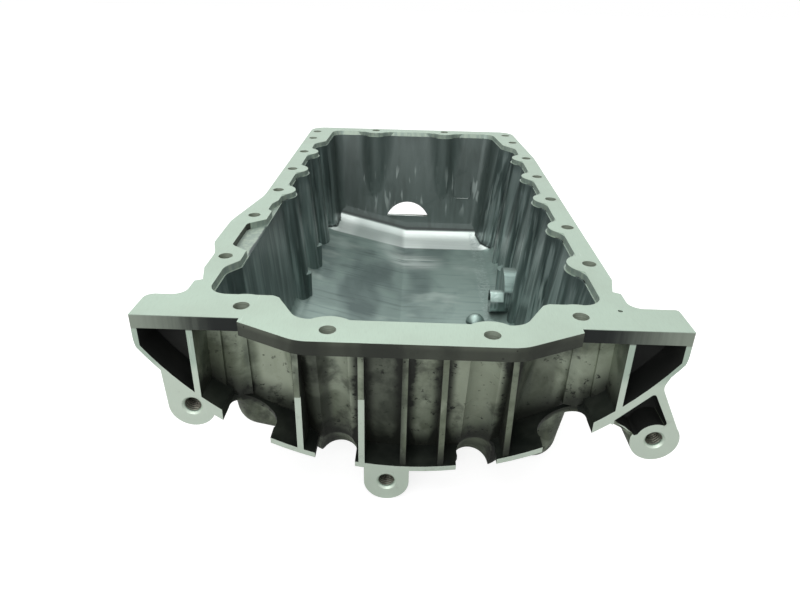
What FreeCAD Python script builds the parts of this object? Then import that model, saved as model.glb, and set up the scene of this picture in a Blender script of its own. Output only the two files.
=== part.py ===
import FreeCAD, Part
import math
import os
import Sketcher

# Engine oil pan, cast in aluminium, with its drain plug and sealing ring.
# Frame: origin midway between the two inner bolts of the gearbox end, on the gasket face.
# +X to the right seen from the gearbox, +Y towards the timing end, +Z up to the engine block.
# Sizes are in millimetres, angles in degrees and drafts in millimetres per millimetre of depth.

doc = FreeCAD.newDocument("OilPan")
sheet = doc.addObject("Spreadsheet::Sheet", "Dims")

DRIVING = {
    # Gasket flange
    "flange_thickness": 7.3,
    "front_edge_depth": 10.8,
    "front_edge_half": 50.5,
    "front_corner_round": 22.0,
    "front_step_half": 80.2,
    "front_step_reach": 4.6,
    "ear_half_width": 132.4,
    "ear_depth": 22.3,
    "ear_corner_round": 2.0,
    "side_edge_offset": 7.2,
    "left_swell": 5.2,
    "nick_depth": 3.8,
    "nick_reach": 53.0,
    "nick_boss_radius": 5.0,
    "nick_boss_height": 8.0,
    # Bolts of the gasket flange
    "bolt_hole_radius": 4.0,
    "front_inner_half": 37.5,
    "front_outer_half": 82.1,
    "front_outer_reach": 20.6,
    "side_row_half": 101.5,
    "right_first": 85.2,
    "right_pitch": 59.6,
    "left_near_half": 106.2,
    "left_first": 80.5,
    "left_second": 150.6,
    "left_third": 207.6,
    "left_pitch": 59.2,
    "left_sixth": 381.1,
    "left_last": 411.2,
    "right_sixth_half": 97.2,
    "right_sixth": 384.8,
    "right_last_half": 93.7,
    "right_last": 415.9,
    "far_row": 424.2,
    "far_left_half": 41.3,
    "far_right_half": 30.5,
    "locating_hole_radius": 1.2,
    "locating_hole_depth": 5.0,
    # Tub
    "wall": 4.5,
    "floor_depth": 105.0,
    "inner_round": 10.0,
    "near_wall": 10.2,
    "near_wall_half": 53.5,
    "near_wall_draft": 0.235,
    "shoulder_angle": 60.6,
    "shoulder_draft": 0.16,
    "shoulder_ease_half": 67.1,
    "shoulder_ease_reach": 32.2,
    "shoulder_ease_draft": 0.14,
    "shoulder_wall": 33.3,
    "shoulder_wall_draft": 0.10,
    "wall_inset": 5.7,
    "right_wall_draft": 0.125,
    "left_wall_draft": 0.078,
    "far_wall": 418.4,
    "far_wall_draft": 0.195,
    "far_bevel_half": 85.5,
    "far_bevel_start": 372.0,
    "floor_crease": 5.0,
    "floor_rise_angle": 13.4,
    "bump_radius": 13.4,
    "access_radius": 8.9,
    "side_access_draft": 0.085,
    "front_access_draft": 0.055,
    "flute_start": 1.5,
    "flute_lean": 13.5,
    "flute_bend_depth": 85.0,
    "flute_foot_lean": 40.7,
    "flute_radius": 10.2,
    "flute_bump_radius": 14.7,
    "ramp_radius": 20.0,
    "rim_band_depth": 4.0,
    "rim_band_step": 0.6,
    "near_bump_radius": 10.5,
    "left_foot_half": 84.0,
    "left_foot_radius": 4.5,
    "left_foot_depth": 67.5,
    "right_foot_half": 85.0,
    "right_foot_radius": 8.5,
    "right_foot_depth": 84.0,
    "corner_wall": 102.3,
    "corner_wall_draft": 0.108,
    "corner_wall_end": 70.0,
    # Gearbox face
    "gear_face": 8.4,
    "crank_height": 74.2,
    "bell_radius": 163.8,
    "lip_thickness": 3.0,
    "band_thickness": 5.3,
    "lip_length": 27.0,
    "ear_rib_half": 103.3,
    "ear_rib_thickness": 3.0,
    "ear_side_thickness": 2.7,
    "ear_arc_radius": 160.7,
    "ear_arc_start": 118.5,
    "ear_tip_round": 22.0,
    "ear_back_wall": 4.0,
    "rib_thickness": 3.2,
    "rib_recess": 1.0,
    "rib_cast_excess": 1.3,
    "rib_machined_depth": 43.6,
    "left_lug_half": 108.7,
    "left_lug_depth": 51.7,
    "centre_lug_half": 10.0,
    "centre_lug_depth": 97.4,
    "right_lug_half": 126.1,
    "right_lug_depth": 63.3,
    "lug_radius": 12.0,
    "centre_thread_depth": 17.0,
    "thread_radius": 4.25,
    "countersink_radius": 5.4,
    "lug_window_length": 15.0,
    "lug_window_wall": 9.8,
    "slot_half_width": 11.7,
    "slot_reach": 20.6,
    "left_notch_reach": 29.0,
    "right_notch_reach": 21.5,
    "ear_back_half": 96.3,
    "gusset_half": 84.0,
    "gusset_reach": 41.0,
    # Window in the far wall
    "window_radius": 24.0,
    "window_centre": 5.7,
    "window_sill": 85.6,
    "window_rise": 14.6,
    # Drain
    "drain_reach": 222.0,
    "drain_depth": 95.0,
    "drain_nose_radius": 9.5,
    "drain_nose_inner": 66.0,
    "drain_boss_radius": 19.0,
    "drain_boss_reach": 231.0,
    "drain_boss_depth": 89.0,
    "drain_boss_inner": 76.5,
    "drain_boss_outer": 93.0,
    "drain_bore_radius": 6.65,
    "drain_thread_gap": 0.05,
    "drain_shank_length": 15.0,
    "drain_flange_radius": 11.5,
    "drain_flange_thickness": 3.0,
    "drain_hex_flats": 19.0,
    "drain_hex_height": 8.0,
    "seal_outer_radius": 10.5,
    "seal_thickness": 1.5,
    # Marks on the floor
    "dome_radius": 7.8,
    "dome_height": 7.0,
    "dome_half": 53.5,
    "dome_reach": 203.0,
}


class Size:
    """A length or an angle that carries both its number and the expression that gives it."""

    def __init__(self, value, text):
        self.value = value
        self.text = text

    @staticmethod
    def of(item):
        if isinstance(item, Size):
            return item
        return Size(float(item), repr(float(item)))

    def join(self, other, sign, value):
        return Size(value, "(" + self.text + sign + Size.of(other).text + ")")

    def __add__(self, other):
        return self.join(other, " + ", self.value + Size.of(other).value)

    def __sub__(self, other):
        return self.join(other, " - ", self.value - Size.of(other).value)

    def __mul__(self, other):
        return self.join(other, " * ", self.value * Size.of(other).value)

    def __truediv__(self, other):
        return self.join(other, " / ", self.value / Size.of(other).value)

    def __neg__(self):
        return Size(-self.value, "(-" + self.text + ")")

    def __radd__(self, other):
        return Size.of(other) + self

    def __rsub__(self, other):
        return Size.of(other) - self

    def __rmul__(self, other):
        return Size.of(other) * self

    def __rtruediv__(self, other):
        return Size.of(other) / self


def sine(angle):
    return Size(math.sin(math.radians(angle.value)), "sin(" + angle.text + ")")


def cosine(angle):
    return Size(math.cos(math.radians(angle.value)), "cos(" + angle.text + ")")


def root(number):
    return Size(math.sqrt(number.value), "sqrt(" + number.text + ")")


def fill_sheet():
    for row, (alias, value) in enumerate(DRIVING.items(), start=1):
        sheet.set("A%d" % row, alias)
        sheet.set("B%d" % row, str(value))
        sheet.setAlias("B%d" % row, alias)
    doc.recompute()


def dim(alias):
    return Size(float(sheet.get(alias)), "Dims." + alias)


def bind(item, prop, size):
    item.setExpression(prop, Size.of(size).text)


def place(item, x=0.0, y=0.0, z=0.0, axis=None, angle=0.0):
    turn = FreeCAD.Rotation(FreeCAD.Vector(*(axis or (0, 0, 1))), Size.of(angle).value)
    spot = FreeCAD.Vector(Size.of(x).value, Size.of(y).value, Size.of(z).value)
    item.Placement = FreeCAD.Placement(spot, turn)
    for letter, size in (("x", x), ("y", y), ("z", z)):
        bind(item, ".Placement.Base." + letter, size)
    if isinstance(angle, Size):
        bind(item, ".Placement.Rotation.Angle", angle)
    return item


def make(kind, name, **sizes):
    item = doc.addObject(kind, name)
    for prop, size in sizes.items():
        setattr(item, prop, Size.of(size).value)
        bind(item, prop, size)
    return item


def cut(name, base, tool):
    item = doc.addObject("Part::Cut", name)
    item.Base = base
    item.Tool = tool
    return item


def fuse(name, shapes):
    item = doc.addObject("Part::MultiFuse", name)
    item.Shapes = shapes
    return item


def common(name, shapes):
    item = doc.addObject("Part::MultiCommon", name)
    item.Shapes = shapes
    return item


def new_body(name, plane="XY_Plane"):
    body = doc.addObject("PartDesign::Body", name)
    planes = {feature.Role: feature for feature in body.Origin.OriginFeatures}
    return body, planes[plane]


def new_sketch(body, plane, name, offset=None):
    sketch = body.newObject("Sketcher::SketchObject", name)
    sketch.AttachmentSupport = [(plane, "")]
    sketch.MapMode = "FlatFace"
    if offset is not None:
        sketch.AttachmentOffset = FreeCAD.Placement(FreeCAD.Vector(0, 0, offset.value), FreeCAD.Rotation())
        bind(sketch, ".AttachmentOffset.Base.z", offset)
    return sketch


def pin_point(sketch, geometry, position, x, y):
    for kind, size in (("DistanceX", x), ("DistanceY", y)):
        number = sketch.addConstraint(Sketcher.Constraint(kind, -1, 1, geometry, position, Size.of(size).value))
        sketch.setExpression("Constraints[%d]" % number, Size.of(size).text)


def corner_arc(before, corner, after, radius):
    """The tangent points and centre of the arc that rounds a corner, and whether it turns left."""
    back = (before - corner).normalize()
    ahead = (after - corner).normalize()
    half = back.getAngle(ahead) / 2.0
    centre = corner + (back + ahead).normalize() * (radius / math.sin(half))
    run = radius / math.tan(half)
    left = (corner - before).cross(after - corner).z > 0
    return corner + back * run, corner + ahead * run, centre, left


def outline(sketch, corners):
    """Draw a closed outline of straight lines whose corners, given as (x, y, round), are pinned."""
    points = [FreeCAD.Vector(Size.of(x).value, Size.of(y).value, 0) for x, y, radius in corners]
    count = len(points)
    rounds = []
    for index in range(count):
        radius = Size.of(corners[index][2]).value
        spot = points[index]
        if radius > 0:
            rounds.append(corner_arc(points[index - 1], spot, points[(index + 1) % count], radius))
        else:
            rounds.append((spot, spot, spot, True))
    for index in range(count):
        sketch.addGeometry(Part.LineSegment(rounds[index][1], rounds[(index + 1) % count][0]))
    for index in range(count):
        x, y, radius = corners[index]
        before = (index - 1) % count
        if Size.of(radius).value == 0:
            sketch.addConstraint(Sketcher.Constraint("Coincident", before, 2, index, 1))
            pin_point(sketch, index, 1, x, y)
            continue
        start, end, centre, left = rounds[index]
        first, last = (start, end) if left else (end, start)
        circle = Part.Circle(centre, FreeCAD.Vector(0, 0, 1), Size.of(radius).value)
        arc = sketch.addGeometry(Part.ArcOfCircle(circle, circle.parameter(first), circle.parameter(last)))
        start_end, end_end = (1, 2) if left else (2, 1)
        sketch.addConstraint(Sketcher.Constraint("Tangent", before, 2, arc, start_end))
        sketch.addConstraint(Sketcher.Constraint("Tangent", arc, end_end, index, 1))
        number = sketch.addConstraint(Sketcher.Constraint("Radius", arc, Size.of(radius).value))
        sketch.setExpression("Constraints[%d]" % number, Size.of(radius).text)
        mark = sketch.addGeometry(Part.Point(points[index]), True)
        sketch.addConstraint(Sketcher.Constraint("PointOnObject", mark, 1, before))
        sketch.addConstraint(Sketcher.Constraint("PointOnObject", mark, 1, index))
        pin_point(sketch, mark, 1, x, y)


def pad(body, sketch, length, name, backwards=False):
    feature = body.newObject("PartDesign::Pad", name)
    feature.Profile = sketch
    feature.Length = length.value
    bind(feature, "Length", length)
    feature.Reversed = backwards
    return feature


def plate(name, corners, low, length):
    """A plate standing on the level low, with its outline in the plane of the gasket face."""
    body, plane = new_body(name)
    sketch = new_sketch(body, plane, name + "_outline", low)
    outline(sketch, corners)
    pad(body, sketch, length, name + "_pad")
    return body


def facing(name, corners, start, length):
    """A plate that reaches from y = start towards the timing end, with its outline in x and z."""
    body, plane = new_body(name, "XZ_Plane")
    sketch = new_sketch(body, plane, name + "_outline", -start)
    outline(sketch, corners)
    pad(body, sketch, length, name + "_pad", backwards=True)
    return body


fill_sheet()


def bolts():
    """Every bolt of the gasket flange: its name and its place."""
    places = []
    for side, word in ((-1, "left"), (1, "right")):
        places.append(("front_inner_" + word, dim("front_inner_half") * side, Size.of(0)))
        places.append(("front_outer_" + word, dim("front_outer_half") * side, dim("front_outer_reach")))
    for step in range(5):
        along = dim("right_first") + dim("right_pitch") * step
        places.append(("right_%d" % (step + 1), dim("side_row_half"), along))
    places.append(("right_6", dim("right_sixth_half"), dim("right_sixth")))
    places.append(("right_7", dim("right_last_half"), dim("right_last")))
    places.append(("left_1", -dim("left_near_half"), dim("left_first")))
    places.append(("left_2", -dim("left_near_half"), dim("left_second")))
    for step in range(3):
        along = dim("left_third") + dim("left_pitch") * step
        places.append(("left_%d" % (step + 3), -dim("side_row_half"), along))
    places.append(("left_6", -dim("side_row_half"), dim("left_sixth")))
    places.append(("left_7", -dim("side_row_half"), dim("left_last")))
    places.append(("far_left", -dim("far_left_half"), dim("far_row")))
    places.append(("far_right", dim("far_right_half"), dim("far_row")))
    return places


BOLTS = bolts()
FLANGE = dim("flange_thickness")
TUB_BOTTOM = dim("floor_depth") + dim("wall")
SIDE_WALL = dim("side_row_half") - dim("wall_inset")


def flange_plate():
    edge = dim("side_edge_offset")
    right = dim("side_row_half") + edge
    left = -dim("side_row_half") - edge
    near_left = -dim("left_near_half") - edge
    far = dim("far_row") + edge
    ear = dim("ear_half_width")
    ear_back = dim("gear_face") + dim("ear_depth")
    front = dim("gear_face")
    swell = near_left - dim("left_swell")
    nick = dim("nick_reach")
    corners = [
        (-ear, front, 0),
        (-dim("front_step_half"), front, 0),
        (-dim("front_step_half"), dim("front_step_reach"), 0),
        (-dim("front_edge_half"), -dim("front_edge_depth"), dim("front_corner_round")),
        (dim("front_edge_half"), -dim("front_edge_depth"), dim("front_corner_round")),
        (dim("front_step_half"), dim("front_step_reach"), 0),
        (dim("front_step_half"), front, 0),
        (ear, front, 0),
        (ear, ear_back, dim("ear_corner_round")),
        (right, ear_back, 7.0),
        (right, nick - 6.0, 0.6),
        (right - dim("nick_depth"), nick - 4.0, 0.6),
        (right, nick + 11.0, 6.0),
        (right, dim("right_first") + dim("right_pitch") * 4, 60.0),
        (dim("right_last_half") + edge, far, 14.0),
        (left, far, 14.0),
        (left, dim("left_third") - 14.0, 60.0),
        (swell, dim("left_second") - 12.0, 40.0),
        (swell, dim("left_first") + 20.0, 22.0),
        (near_left, dim("left_first") + 4.0, 22.0),
        (near_left, nick + 11.0, 6.0),
        (near_left + dim("nick_depth"), nick - 4.0, 0.6),
        (near_left, nick - 6.0, 0.6),
        (near_left, ear_back, 7.0),
        (-ear, ear_back, dim("ear_corner_round") * 2.5),
    ]
    return plate("flange_plate", corners, -FLANGE, FLANGE)


def wall_lines():
    """The inner walls as lines on the gasket face, anticlockwise: a point, a heading and a draft."""
    side = SIDE_WALL
    shoulder = dim("shoulder_angle")
    ease = dim("shoulder_ease_half")
    ease_reach = dim("shoulder_ease_reach")
    ease_draft = dim("shoulder_ease_draft")
    bevel = dim("far_bevel_half")
    bevel_start = dim("far_bevel_start")
    side_draft = dim("right_wall_draft")
    left_draft = dim("left_wall_draft")
    zero = Size.of(0)
    return [
        (zero, dim("near_wall"), Size.of(0), dim("near_wall_draft")),
        (dim("near_wall_half"), dim("near_wall"), shoulder, dim("shoulder_draft")),
        (ease, ease_reach, shoulder / 2.0, ease_draft),
        (zero, dim("shoulder_wall"), Size.of(0), dim("shoulder_wall_draft")),
        (side, dim("shoulder_wall"), Size.of(90), side_draft),
        (bevel, bevel_start, Size.of(126), side_draft),
        (bevel, bevel_start, Size.of(96.8), side_draft),
        (zero, dim("far_wall"), Size.of(180), dim("far_wall_draft")),
        (-bevel - 1.0, bevel_start, Size.of(268), left_draft),
        (-bevel - 2.5, bevel_start - 5.0, Size.of(232), left_draft),
        (-side, dim("shoulder_wall"), Size.of(270), left_draft),
        (-side - 3.0, dim("corner_wall_end"), Size.of(235), dim("corner_wall_draft")),
        (-dim("corner_wall"), dim("shoulder_wall"), Size.of(270), dim("corner_wall_draft")),
        (zero, dim("shoulder_wall"), Size.of(0), dim("shoulder_wall_draft")),
        (-ease, ease_reach, -shoulder / 2.0, ease_draft),
        (-dim("near_wall_half"), dim("near_wall"), -shoulder, dim("shoulder_draft")),
    ]


def meet(first, second):
    """Where two lines, each a point and a heading, cross."""
    (ax, ay, a), (bx, by, b) = first, second
    ux, uy = math.cos(a), math.sin(a)
    vx, vy = math.cos(b), math.sin(b)
    along = ((bx - ax) * vy - (by - ay) * vx) / (ux * vy - uy * vx)
    return FreeCAD.Vector(ax + ux * along, ay + uy * along, 0)


def wall_sketch(body, plane, name, depth, inset):
    """The outline of the inner walls at a depth, moved inwards by inset square to each wall."""
    traces = []
    for x, y, heading, draft in wall_lines():
        shift = draft * depth + inset * root(1 + draft * draft)
        traces.append((x - sine(heading) * shift, y + cosine(heading) * shift, heading))
    lines = [(x.value, y.value, math.radians(heading.value)) for x, y, heading in traces]
    count = len(lines)
    points = [meet(lines[index - 1], lines[index]) for index in range(count)]
    sketch = new_sketch(body, plane, name, -depth)
    for index in range(count):
        sketch.addGeometry(Part.LineSegment(points[index], points[(index + 1) % count]))
    for index in range(count):
        x, y, heading = traces[index]
        sketch.addConstraint(Sketcher.Constraint("Coincident", index, 2, (index + 1) % count, 1))
        mark = sketch.addGeometry(Part.Point(FreeCAD.Vector(x.value, y.value, 0)), True)
        sketch.addConstraint(Sketcher.Constraint("PointOnObject", mark, 1, index))
        pin_point(sketch, mark, 1, x, y)
        if heading.value % 180 == 0:
            sketch.addConstraint(Sketcher.Constraint("Horizontal", index))
        elif heading.value % 180 == 90:
            sketch.addConstraint(Sketcher.Constraint("Vertical", index))
        else:
            along = (points[(index + 1) % count] - points[index])
            number = sketch.addConstraint(Sketcher.Constraint("Angle", index, math.atan2(along.y, along.x)))
            sketch.setExpression("Constraints[%d]" % number, (heading - 360.0 * (heading.value > 180)).text)
    return sketch


def tub_seed():
    """The hollow of the tub without its rounds: every face lies one inner round inside the hollow."""
    inset = dim("inner_round")
    above = -(inset * 2.0)
    body, plane = new_body("tub_seed")
    mouth = wall_sketch(body, plane, "tub_mouth", above, inset)
    foot = wall_sketch(body, plane, "tub_foot", dim("floor_depth") - inset, inset)
    loft = body.newObject("PartDesign::AdditiveLoft", "tub_walls")
    loft.Profile = foot
    loft.Sections = [mouth]
    loft.Ruled = True
    planes = {feature.Role: feature for feature in body.Origin.OriginFeatures}
    slope = new_sketch(body, planes["XZ_Plane"], "floor_slope")
    rise = dim("floor_rise_angle")
    low = -(dim("floor_depth") - inset)
    half_turn = Size(math.tan(math.radians(rise.value / 2)), "tan(" + rise.text + " / 2)")
    full_turn = Size(math.tan(math.radians(rise.value)), "tan(" + rise.text + ")")
    start = -dim("floor_crease") - inset * half_turn
    reach = Size.of(150.0)
    corners = [
        (start, low, 0),
        (start - reach, low + reach * full_turn, 0),
        (start - reach, low - reach, 0),
        (start, low - reach, 0),
    ]
    outline(slope, corners)
    pocket = body.newObject("PartDesign::Pocket", "sloped_floor")
    pocket.Profile = slope
    pocket.Type = "ThroughAll"
    pocket.Midplane = True
    return body


def grown(name, seed, amount):
    item = doc.addObject("Part::Offset", name)
    item.Source = seed
    item.Value = amount.value
    bind(item, "Value", amount)
    item.Join = 0
    return item


def column(name, x, y, top, radius, draft, depth):
    """A round column that hangs from the level top and widens with its depth."""
    item = make("Part::Cone", name, Radius1=radius + draft * depth, Radius2=radius, Height=depth)
    return place(item, x, y, top - depth)


def flute(name, x, radius):
    """The column of an inner bolt of the gearbox end, which leans back and bends below the skirt."""
    lean = dim("flute_lean")
    bend = dim("flute_bend_depth")
    bend_reach = bend * sine(lean) / cosine(lean) - dim("flute_start")
    upper = make("Part::Cylinder", name + "_upper", Radius=radius, Height=(bend + 30.0) / cosine(lean))
    drop = 15.0
    slant = sine(lean) / cosine(lean)
    place(upper, x, bend_reach + drop * slant, -bend - drop, (1, 0, 0), lean)
    foot_lean = dim("flute_foot_lean")
    foot_drop = 45.0
    foot_slant = sine(foot_lean) / cosine(foot_lean)
    foot = make("Part::Cylinder", name + "_foot", Radius=radius, Height=foot_drop / cosine(foot_lean))
    place(foot, x, bend_reach + foot_drop * foot_slant, -bend - foot_drop, (1, 0, 0), foot_lean)
    return fuse(name, [upper, foot])


def columns(prefix, radius, top, depth):
    items = []
    for name, x, y in BOLTS:
        if name.startswith("front_inner"):
            whole = flute(prefix + "whole_" + name, x, dim("flute_radius"))
            items.append(common(prefix + name, [whole, slab(prefix + "part_" + name, -depth, top)]))
            continue
        front = name.startswith("front")
        draft = dim("front_access_draft") if front else dim("side_access_draft")
        items.append(column(prefix + name, x, y, top, radius, draft, depth))
    return items


def flush(name):
    """The two near bolts of the left side, whose columns lie inside the wall."""
    return name in ("left_1", "left_2")


def slab(name, low, high):
    """A block that is wider than the pan, between two levels."""
    item = make("Part::Box", name, Length=400.0, Width=600.0, Height=high - low)
    return place(item, -200.0, -80.0, low)


def hollow(seed):
    """The space inside the pan: the tub less the bolt columns, with its machined rim."""
    depth = TUB_BOTTOM + 4.0
    core = grown("tub_hollow", seed, dim("inner_round"))
    bumps = []
    feet = []
    for name, x, y in BOLTS:
        front = name.startswith("front")
        draft = dim("front_access_draft") if front else dim("side_access_draft")
        if name.startswith("front_inner"):
            bumps.append(flute("bump_" + name, x, dim("flute_bump_radius")))
        elif not flush(name):
            bumps.append(column("bump_" + name, x, y, Size.of(0), dim("bump_radius"), draft, depth))
        side = {"left_3": "left", "left_4": "left", "right_4": "right"}.get(name)
        if side:
            top = -dim(side + "_foot_depth")
            half = dim(side + "_foot_half") * (-1 if side == "left" else 1)
            foot = make("Part::Cylinder", "foot_" + name, Radius=dim(side + "_foot_radius"), Height=depth + top)
            feet.append(place(foot, half, y, -depth))
    ramped = cut("hollow_ramped", core, fuse("floor_ramp", floor_ramp()))
    stepped = cut("hollow_stepped", ramped, fuse("bolt_bumps", bumps + feet))
    step = dim("rim_band_step")
    wide = grown("rim_hollow", seed, dim("inner_round") + step)
    rim_columns = []
    for name, x, y in BOLTS:
        if name.startswith("front_inner"):
            rim_columns.append(flute("rim_" + name, x, dim("flute_bump_radius") - step))
            continue
        radius = dim("near_bump_radius") if flush(name) else dim("bump_radius")
        item = make("Part::Cylinder", "rim_" + name, Radius=radius - step, Height=30.0)
        rim_columns.append(place(item, x, y, -15.0))
    band = common("rim_band", [cut("rim_wide", wide, fuse("rim_bumps", rim_columns)),
                               slab("rim_slab", -dim("rim_band_depth"), Size.of(1))])
    return fuse("pan_hollow", [stepped, band])


def floor_ramp():
    """The wide round between the floor and the far wall, as the metal that it leaves in the corner."""
    radius = dim("ramp_radius")
    draft = dim("far_wall_draft")
    bite = 0.3
    depth = dim("floor_depth") - radius + bite
    reach = dim("far_wall") - draft * depth - (radius - bite) * root(1 + draft * draft)
    rise = math.radians(dim("floor_rise_angle").value)
    slope = math.tan(rise)
    back = draft.value * slope
    crease = -dim("floor_crease") - (dim("inner_round") * 2.0 - radius) * math.tan(rise / 2.0)
    tilt = 180.0 - math.degrees(math.atan2(math.hypot(1, back), slope))
    runs = (
        ("flat", 20.0, 0.0, 0.0, (0, 1, 0), 90.0),
        ("sloped", 110.0, slope, back, (back, 1, 0), tilt),
    )
    fills = []
    for word, lead, rise_rate, back_rate, axis, turn in runs:
        start = (crease - lead, reach + back_rate * lead, -depth + rise_rate * lead)
        drum = make("Part::Cylinder", "ramp_drum_" + word, Radius=radius, Height=150.0)
        place(drum, *start, axis, turn)
        block = make("Part::Box", "ramp_block_" + word, Length=radius, Width=radius * 1.5, Height=135.0)
        place(block, start[0], start[1], start[2] - radius * draft, axis, turn)
        fills.append(cut("ramp_" + word, block, drum))
    return fills


def rim_reliefs():
    """Two shallow recesses in the left rim, beside the second bolt."""
    inner = -SIDE_WALL + 2.0
    deep = -dim("left_near_half") - 0.8
    first = dim("left_first")
    second = dim("left_second")
    bay = [
        (inner, first + 6.5, 0),
        (deep, first + 17.0, 5.0),
        (deep, second - 17.0, 5.0),
        (inner, second - 5.5, 0),
    ]
    shallow = deep + 7.6
    dip = [
        (inner, second + 6.0, 0),
        (shallow, second + 12.0, 4.0),
        (shallow, second + 24.0, 8.0),
        (inner, second + 40.0, 0),
    ]
    low = -dim("rim_band_depth")
    high = dim("rim_band_depth") + 1.0
    return [plate("left_bay_relief", bay[::-1], low, high), plate("left_dip_relief", dip[::-1], low, high)]


def bell_point(half, thickness):
    """The height of the bell arc, less a thickness, at a distance from the crank line."""
    radius = dim("bell_radius") - thickness
    return dim("crank_height") - root(radius * radius - half * half)


def bell_ring(name, thickness, length):
    """A stretch of the bell housing's skirt, a tube about the crank line."""
    outer = make("Part::Cylinder", name + "_outer", Radius=dim("bell_radius"), Height=length)
    inner = make("Part::Cylinder", name + "_inner", Radius=dim("bell_radius") - thickness, Height=length + 2.0)
    for item, start in ((outer, dim("gear_face")), (inner, dim("gear_face") - 1.0)):
        place(item, 0.0, start, dim("crank_height"), (1, 0, 0), -90.0)
    return cut(name, outer, inner)


def box(name, x0, x1, y0, y1, z0, z1):
    item = make("Part::Box", name, Length=Size.of(x1) - x0, Width=Size.of(y1) - y0, Height=Size.of(z1) - z0)
    return place(item, x0, y0, z0)


def lip_slots():
    """The openings in the lip that let a socket reach the four bolts above it."""
    slots = []
    for side, word in ((-1, "left"), (1, "right")):
        outer = dim("front_outer_half") * side
        wide = dim("slot_half_width")
        slots.append(box("slot_mouth_" + word, outer - wide, outer + wide, -5.0, dim("slot_reach"), -120.0, -12.0))
        end = make("Part::Cylinder", "slot_end_" + word, Radius=wide, Height=108.0)
        slots.append(place(end, outer, dim("slot_reach"), -120.0))
        notch = 5.0 if side < 0 else 9.5
        low, high = (-47.6, -26.7) if side < 0 else (26.6, 47.6)
        end = dim(word + "_notch_reach")
        corners = [(low, -5.0, 0), (high, -5.0, 0), (high, end, notch), (low, end, notch)]
        slots.append(plate("slot_inner_" + word, corners, Size.of(-120.0), Size.of(108.0)))
    return fuse("lip_slots", slots)


def ear_trim():
    """What lies outside the ears: beyond their flatter arc and their rounded tips."""
    tools = []
    for side, word in ((-1, "left"), (1, "right")):
        low, high = (-150.0, -dim("ear_arc_start")) if side < 0 else (dim("ear_arc_start"), 150.0)
        zone = box("trim_zone_" + word, low, high, 0.0, 60.0, -90.0, -1.0)
        disc = make("Part::Cylinder", "trim_disc_" + word, Radius=dim("ear_arc_radius"), Height=80.0)
        place(disc, 0.0, -5.0, dim("crank_height"), (1, 0, 0), -90.0)
        tools.append(cut("trim_" + word, zone, disc))
        tip = dim("ear_half_width")
        corners = [
            (tip * side, Size.of(0), 0),
            (tip * side, Size.of(-20.0), dim("ear_tip_round")),
            ((tip - 24.0) * side, Size.of(-50.0), 0),
            ((tip - 24.0) * side, Size.of(0), 0),
        ]
        keep = facing("tip_" + word, corners[::-side], Size.of(-1), Size.of(62))
        zone = box("tip_zone_" + word, *((-150.0, -124.0) if side < 0 else (124.0, 150.0)), 0.0, 60.0, -90.0, -1.0)
        tools.append(cut("tip_trim_" + word, zone, keep))
    return fuse("ear_trim", tools)


def skirt():
    """The thin lip under the bolt bay and the thicker bands that carry the ears."""
    half = dim("ear_rib_half")
    lip_half = half - 10.0
    lip = common("lip", [
        bell_ring("lip_ring", dim("lip_thickness"), dim("lip_length")),
        box("lip_span", -half, half, 0.0, 60.0, -120.0, -7.0),
    ])
    bands = []
    for side, word in ((-1, "left"), (1, "right")):
        low, high = (-dim("ear_half_width"), -lip_half) if side < 0 else (lip_half, dim("ear_half_width"))
        bands.append(common("band_" + word, [
            bell_ring("band_ring_" + word, dim("band_thickness"), dim("ear_depth")),
            box("band_span_" + word, low, high, 0.0, 60.0, -90.0, -1.0),
        ]))
    return [cut("lip_slotted", fuse("lip_and_bands", [lip] + bands), lip_slots())]


def ears():
    """The closed pockets at both ends of the gearbox face."""
    parts = []
    front = dim("gear_face")
    back = front + dim("ear_depth")
    for side, word in ((-1, "left"), (1, "right")):
        inner = dim("ear_rib_half") * side
        tub_side = dim("ear_back_half") * side
        near, far = dim("gusset_half") * side, (dim("ear_back_half") + 3.7) * side
        rib = inner + dim("ear_rib_thickness") * side
        outer = dim("ear_half_width") * side
        side_in = outer - dim("ear_side_thickness") * side
        spans = {
            "ear_rib_": (min(inner, rib, key=value_of), max(inner, rib, key=value_of), front, back),
            "ear_side_": (min(outer, side_in, key=value_of), max(outer, side_in, key=value_of), front, back),
            "ear_back_": (min(tub_side, outer, key=value_of), max(tub_side, outer, key=value_of),
                          back - dim("ear_back_wall"), back),
            "ear_gusset_": (min(near, far, key=value_of), max(near, far, key=value_of),
                            back - 1.8, dim("gusset_reach")),
        }
        disc = make("Part::Cylinder", "ear_disc_" + word, Radius=dim("bell_radius"), Height=40.0)
        place(disc, 0.0, front, dim("crank_height"), (1, 0, 0), -90.0)
        walls = [box(key + word, x0, x1, y0, y1, -60.0, -1.0) for key, (x0, x1, y0, y1) in spans.items()]
        parts.append(common("ear_walls_" + word, [fuse("ear_shell_" + word, walls), disc]))
    return parts


def value_of(size):
    return size.value


def nick_bosses():
    """The small bosses that stand under the nicks in both long edges of the flange."""
    bosses = []
    for side, word in ((-1, "left"), (1, "right")):
        row = dim("left_near_half") if side < 0 else dim("side_row_half")
        radius = dim("nick_boss_radius")
        height = dim("nick_boss_height")
        boss = make("Part::Cylinder", "nick_boss_" + word, Radius=radius, Height=height)
        half = row + dim("side_edge_offset") - radius
        bosses.append(place(boss, half * side, dim("nick_reach"), -FLANGE - height))
    return bosses


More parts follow.
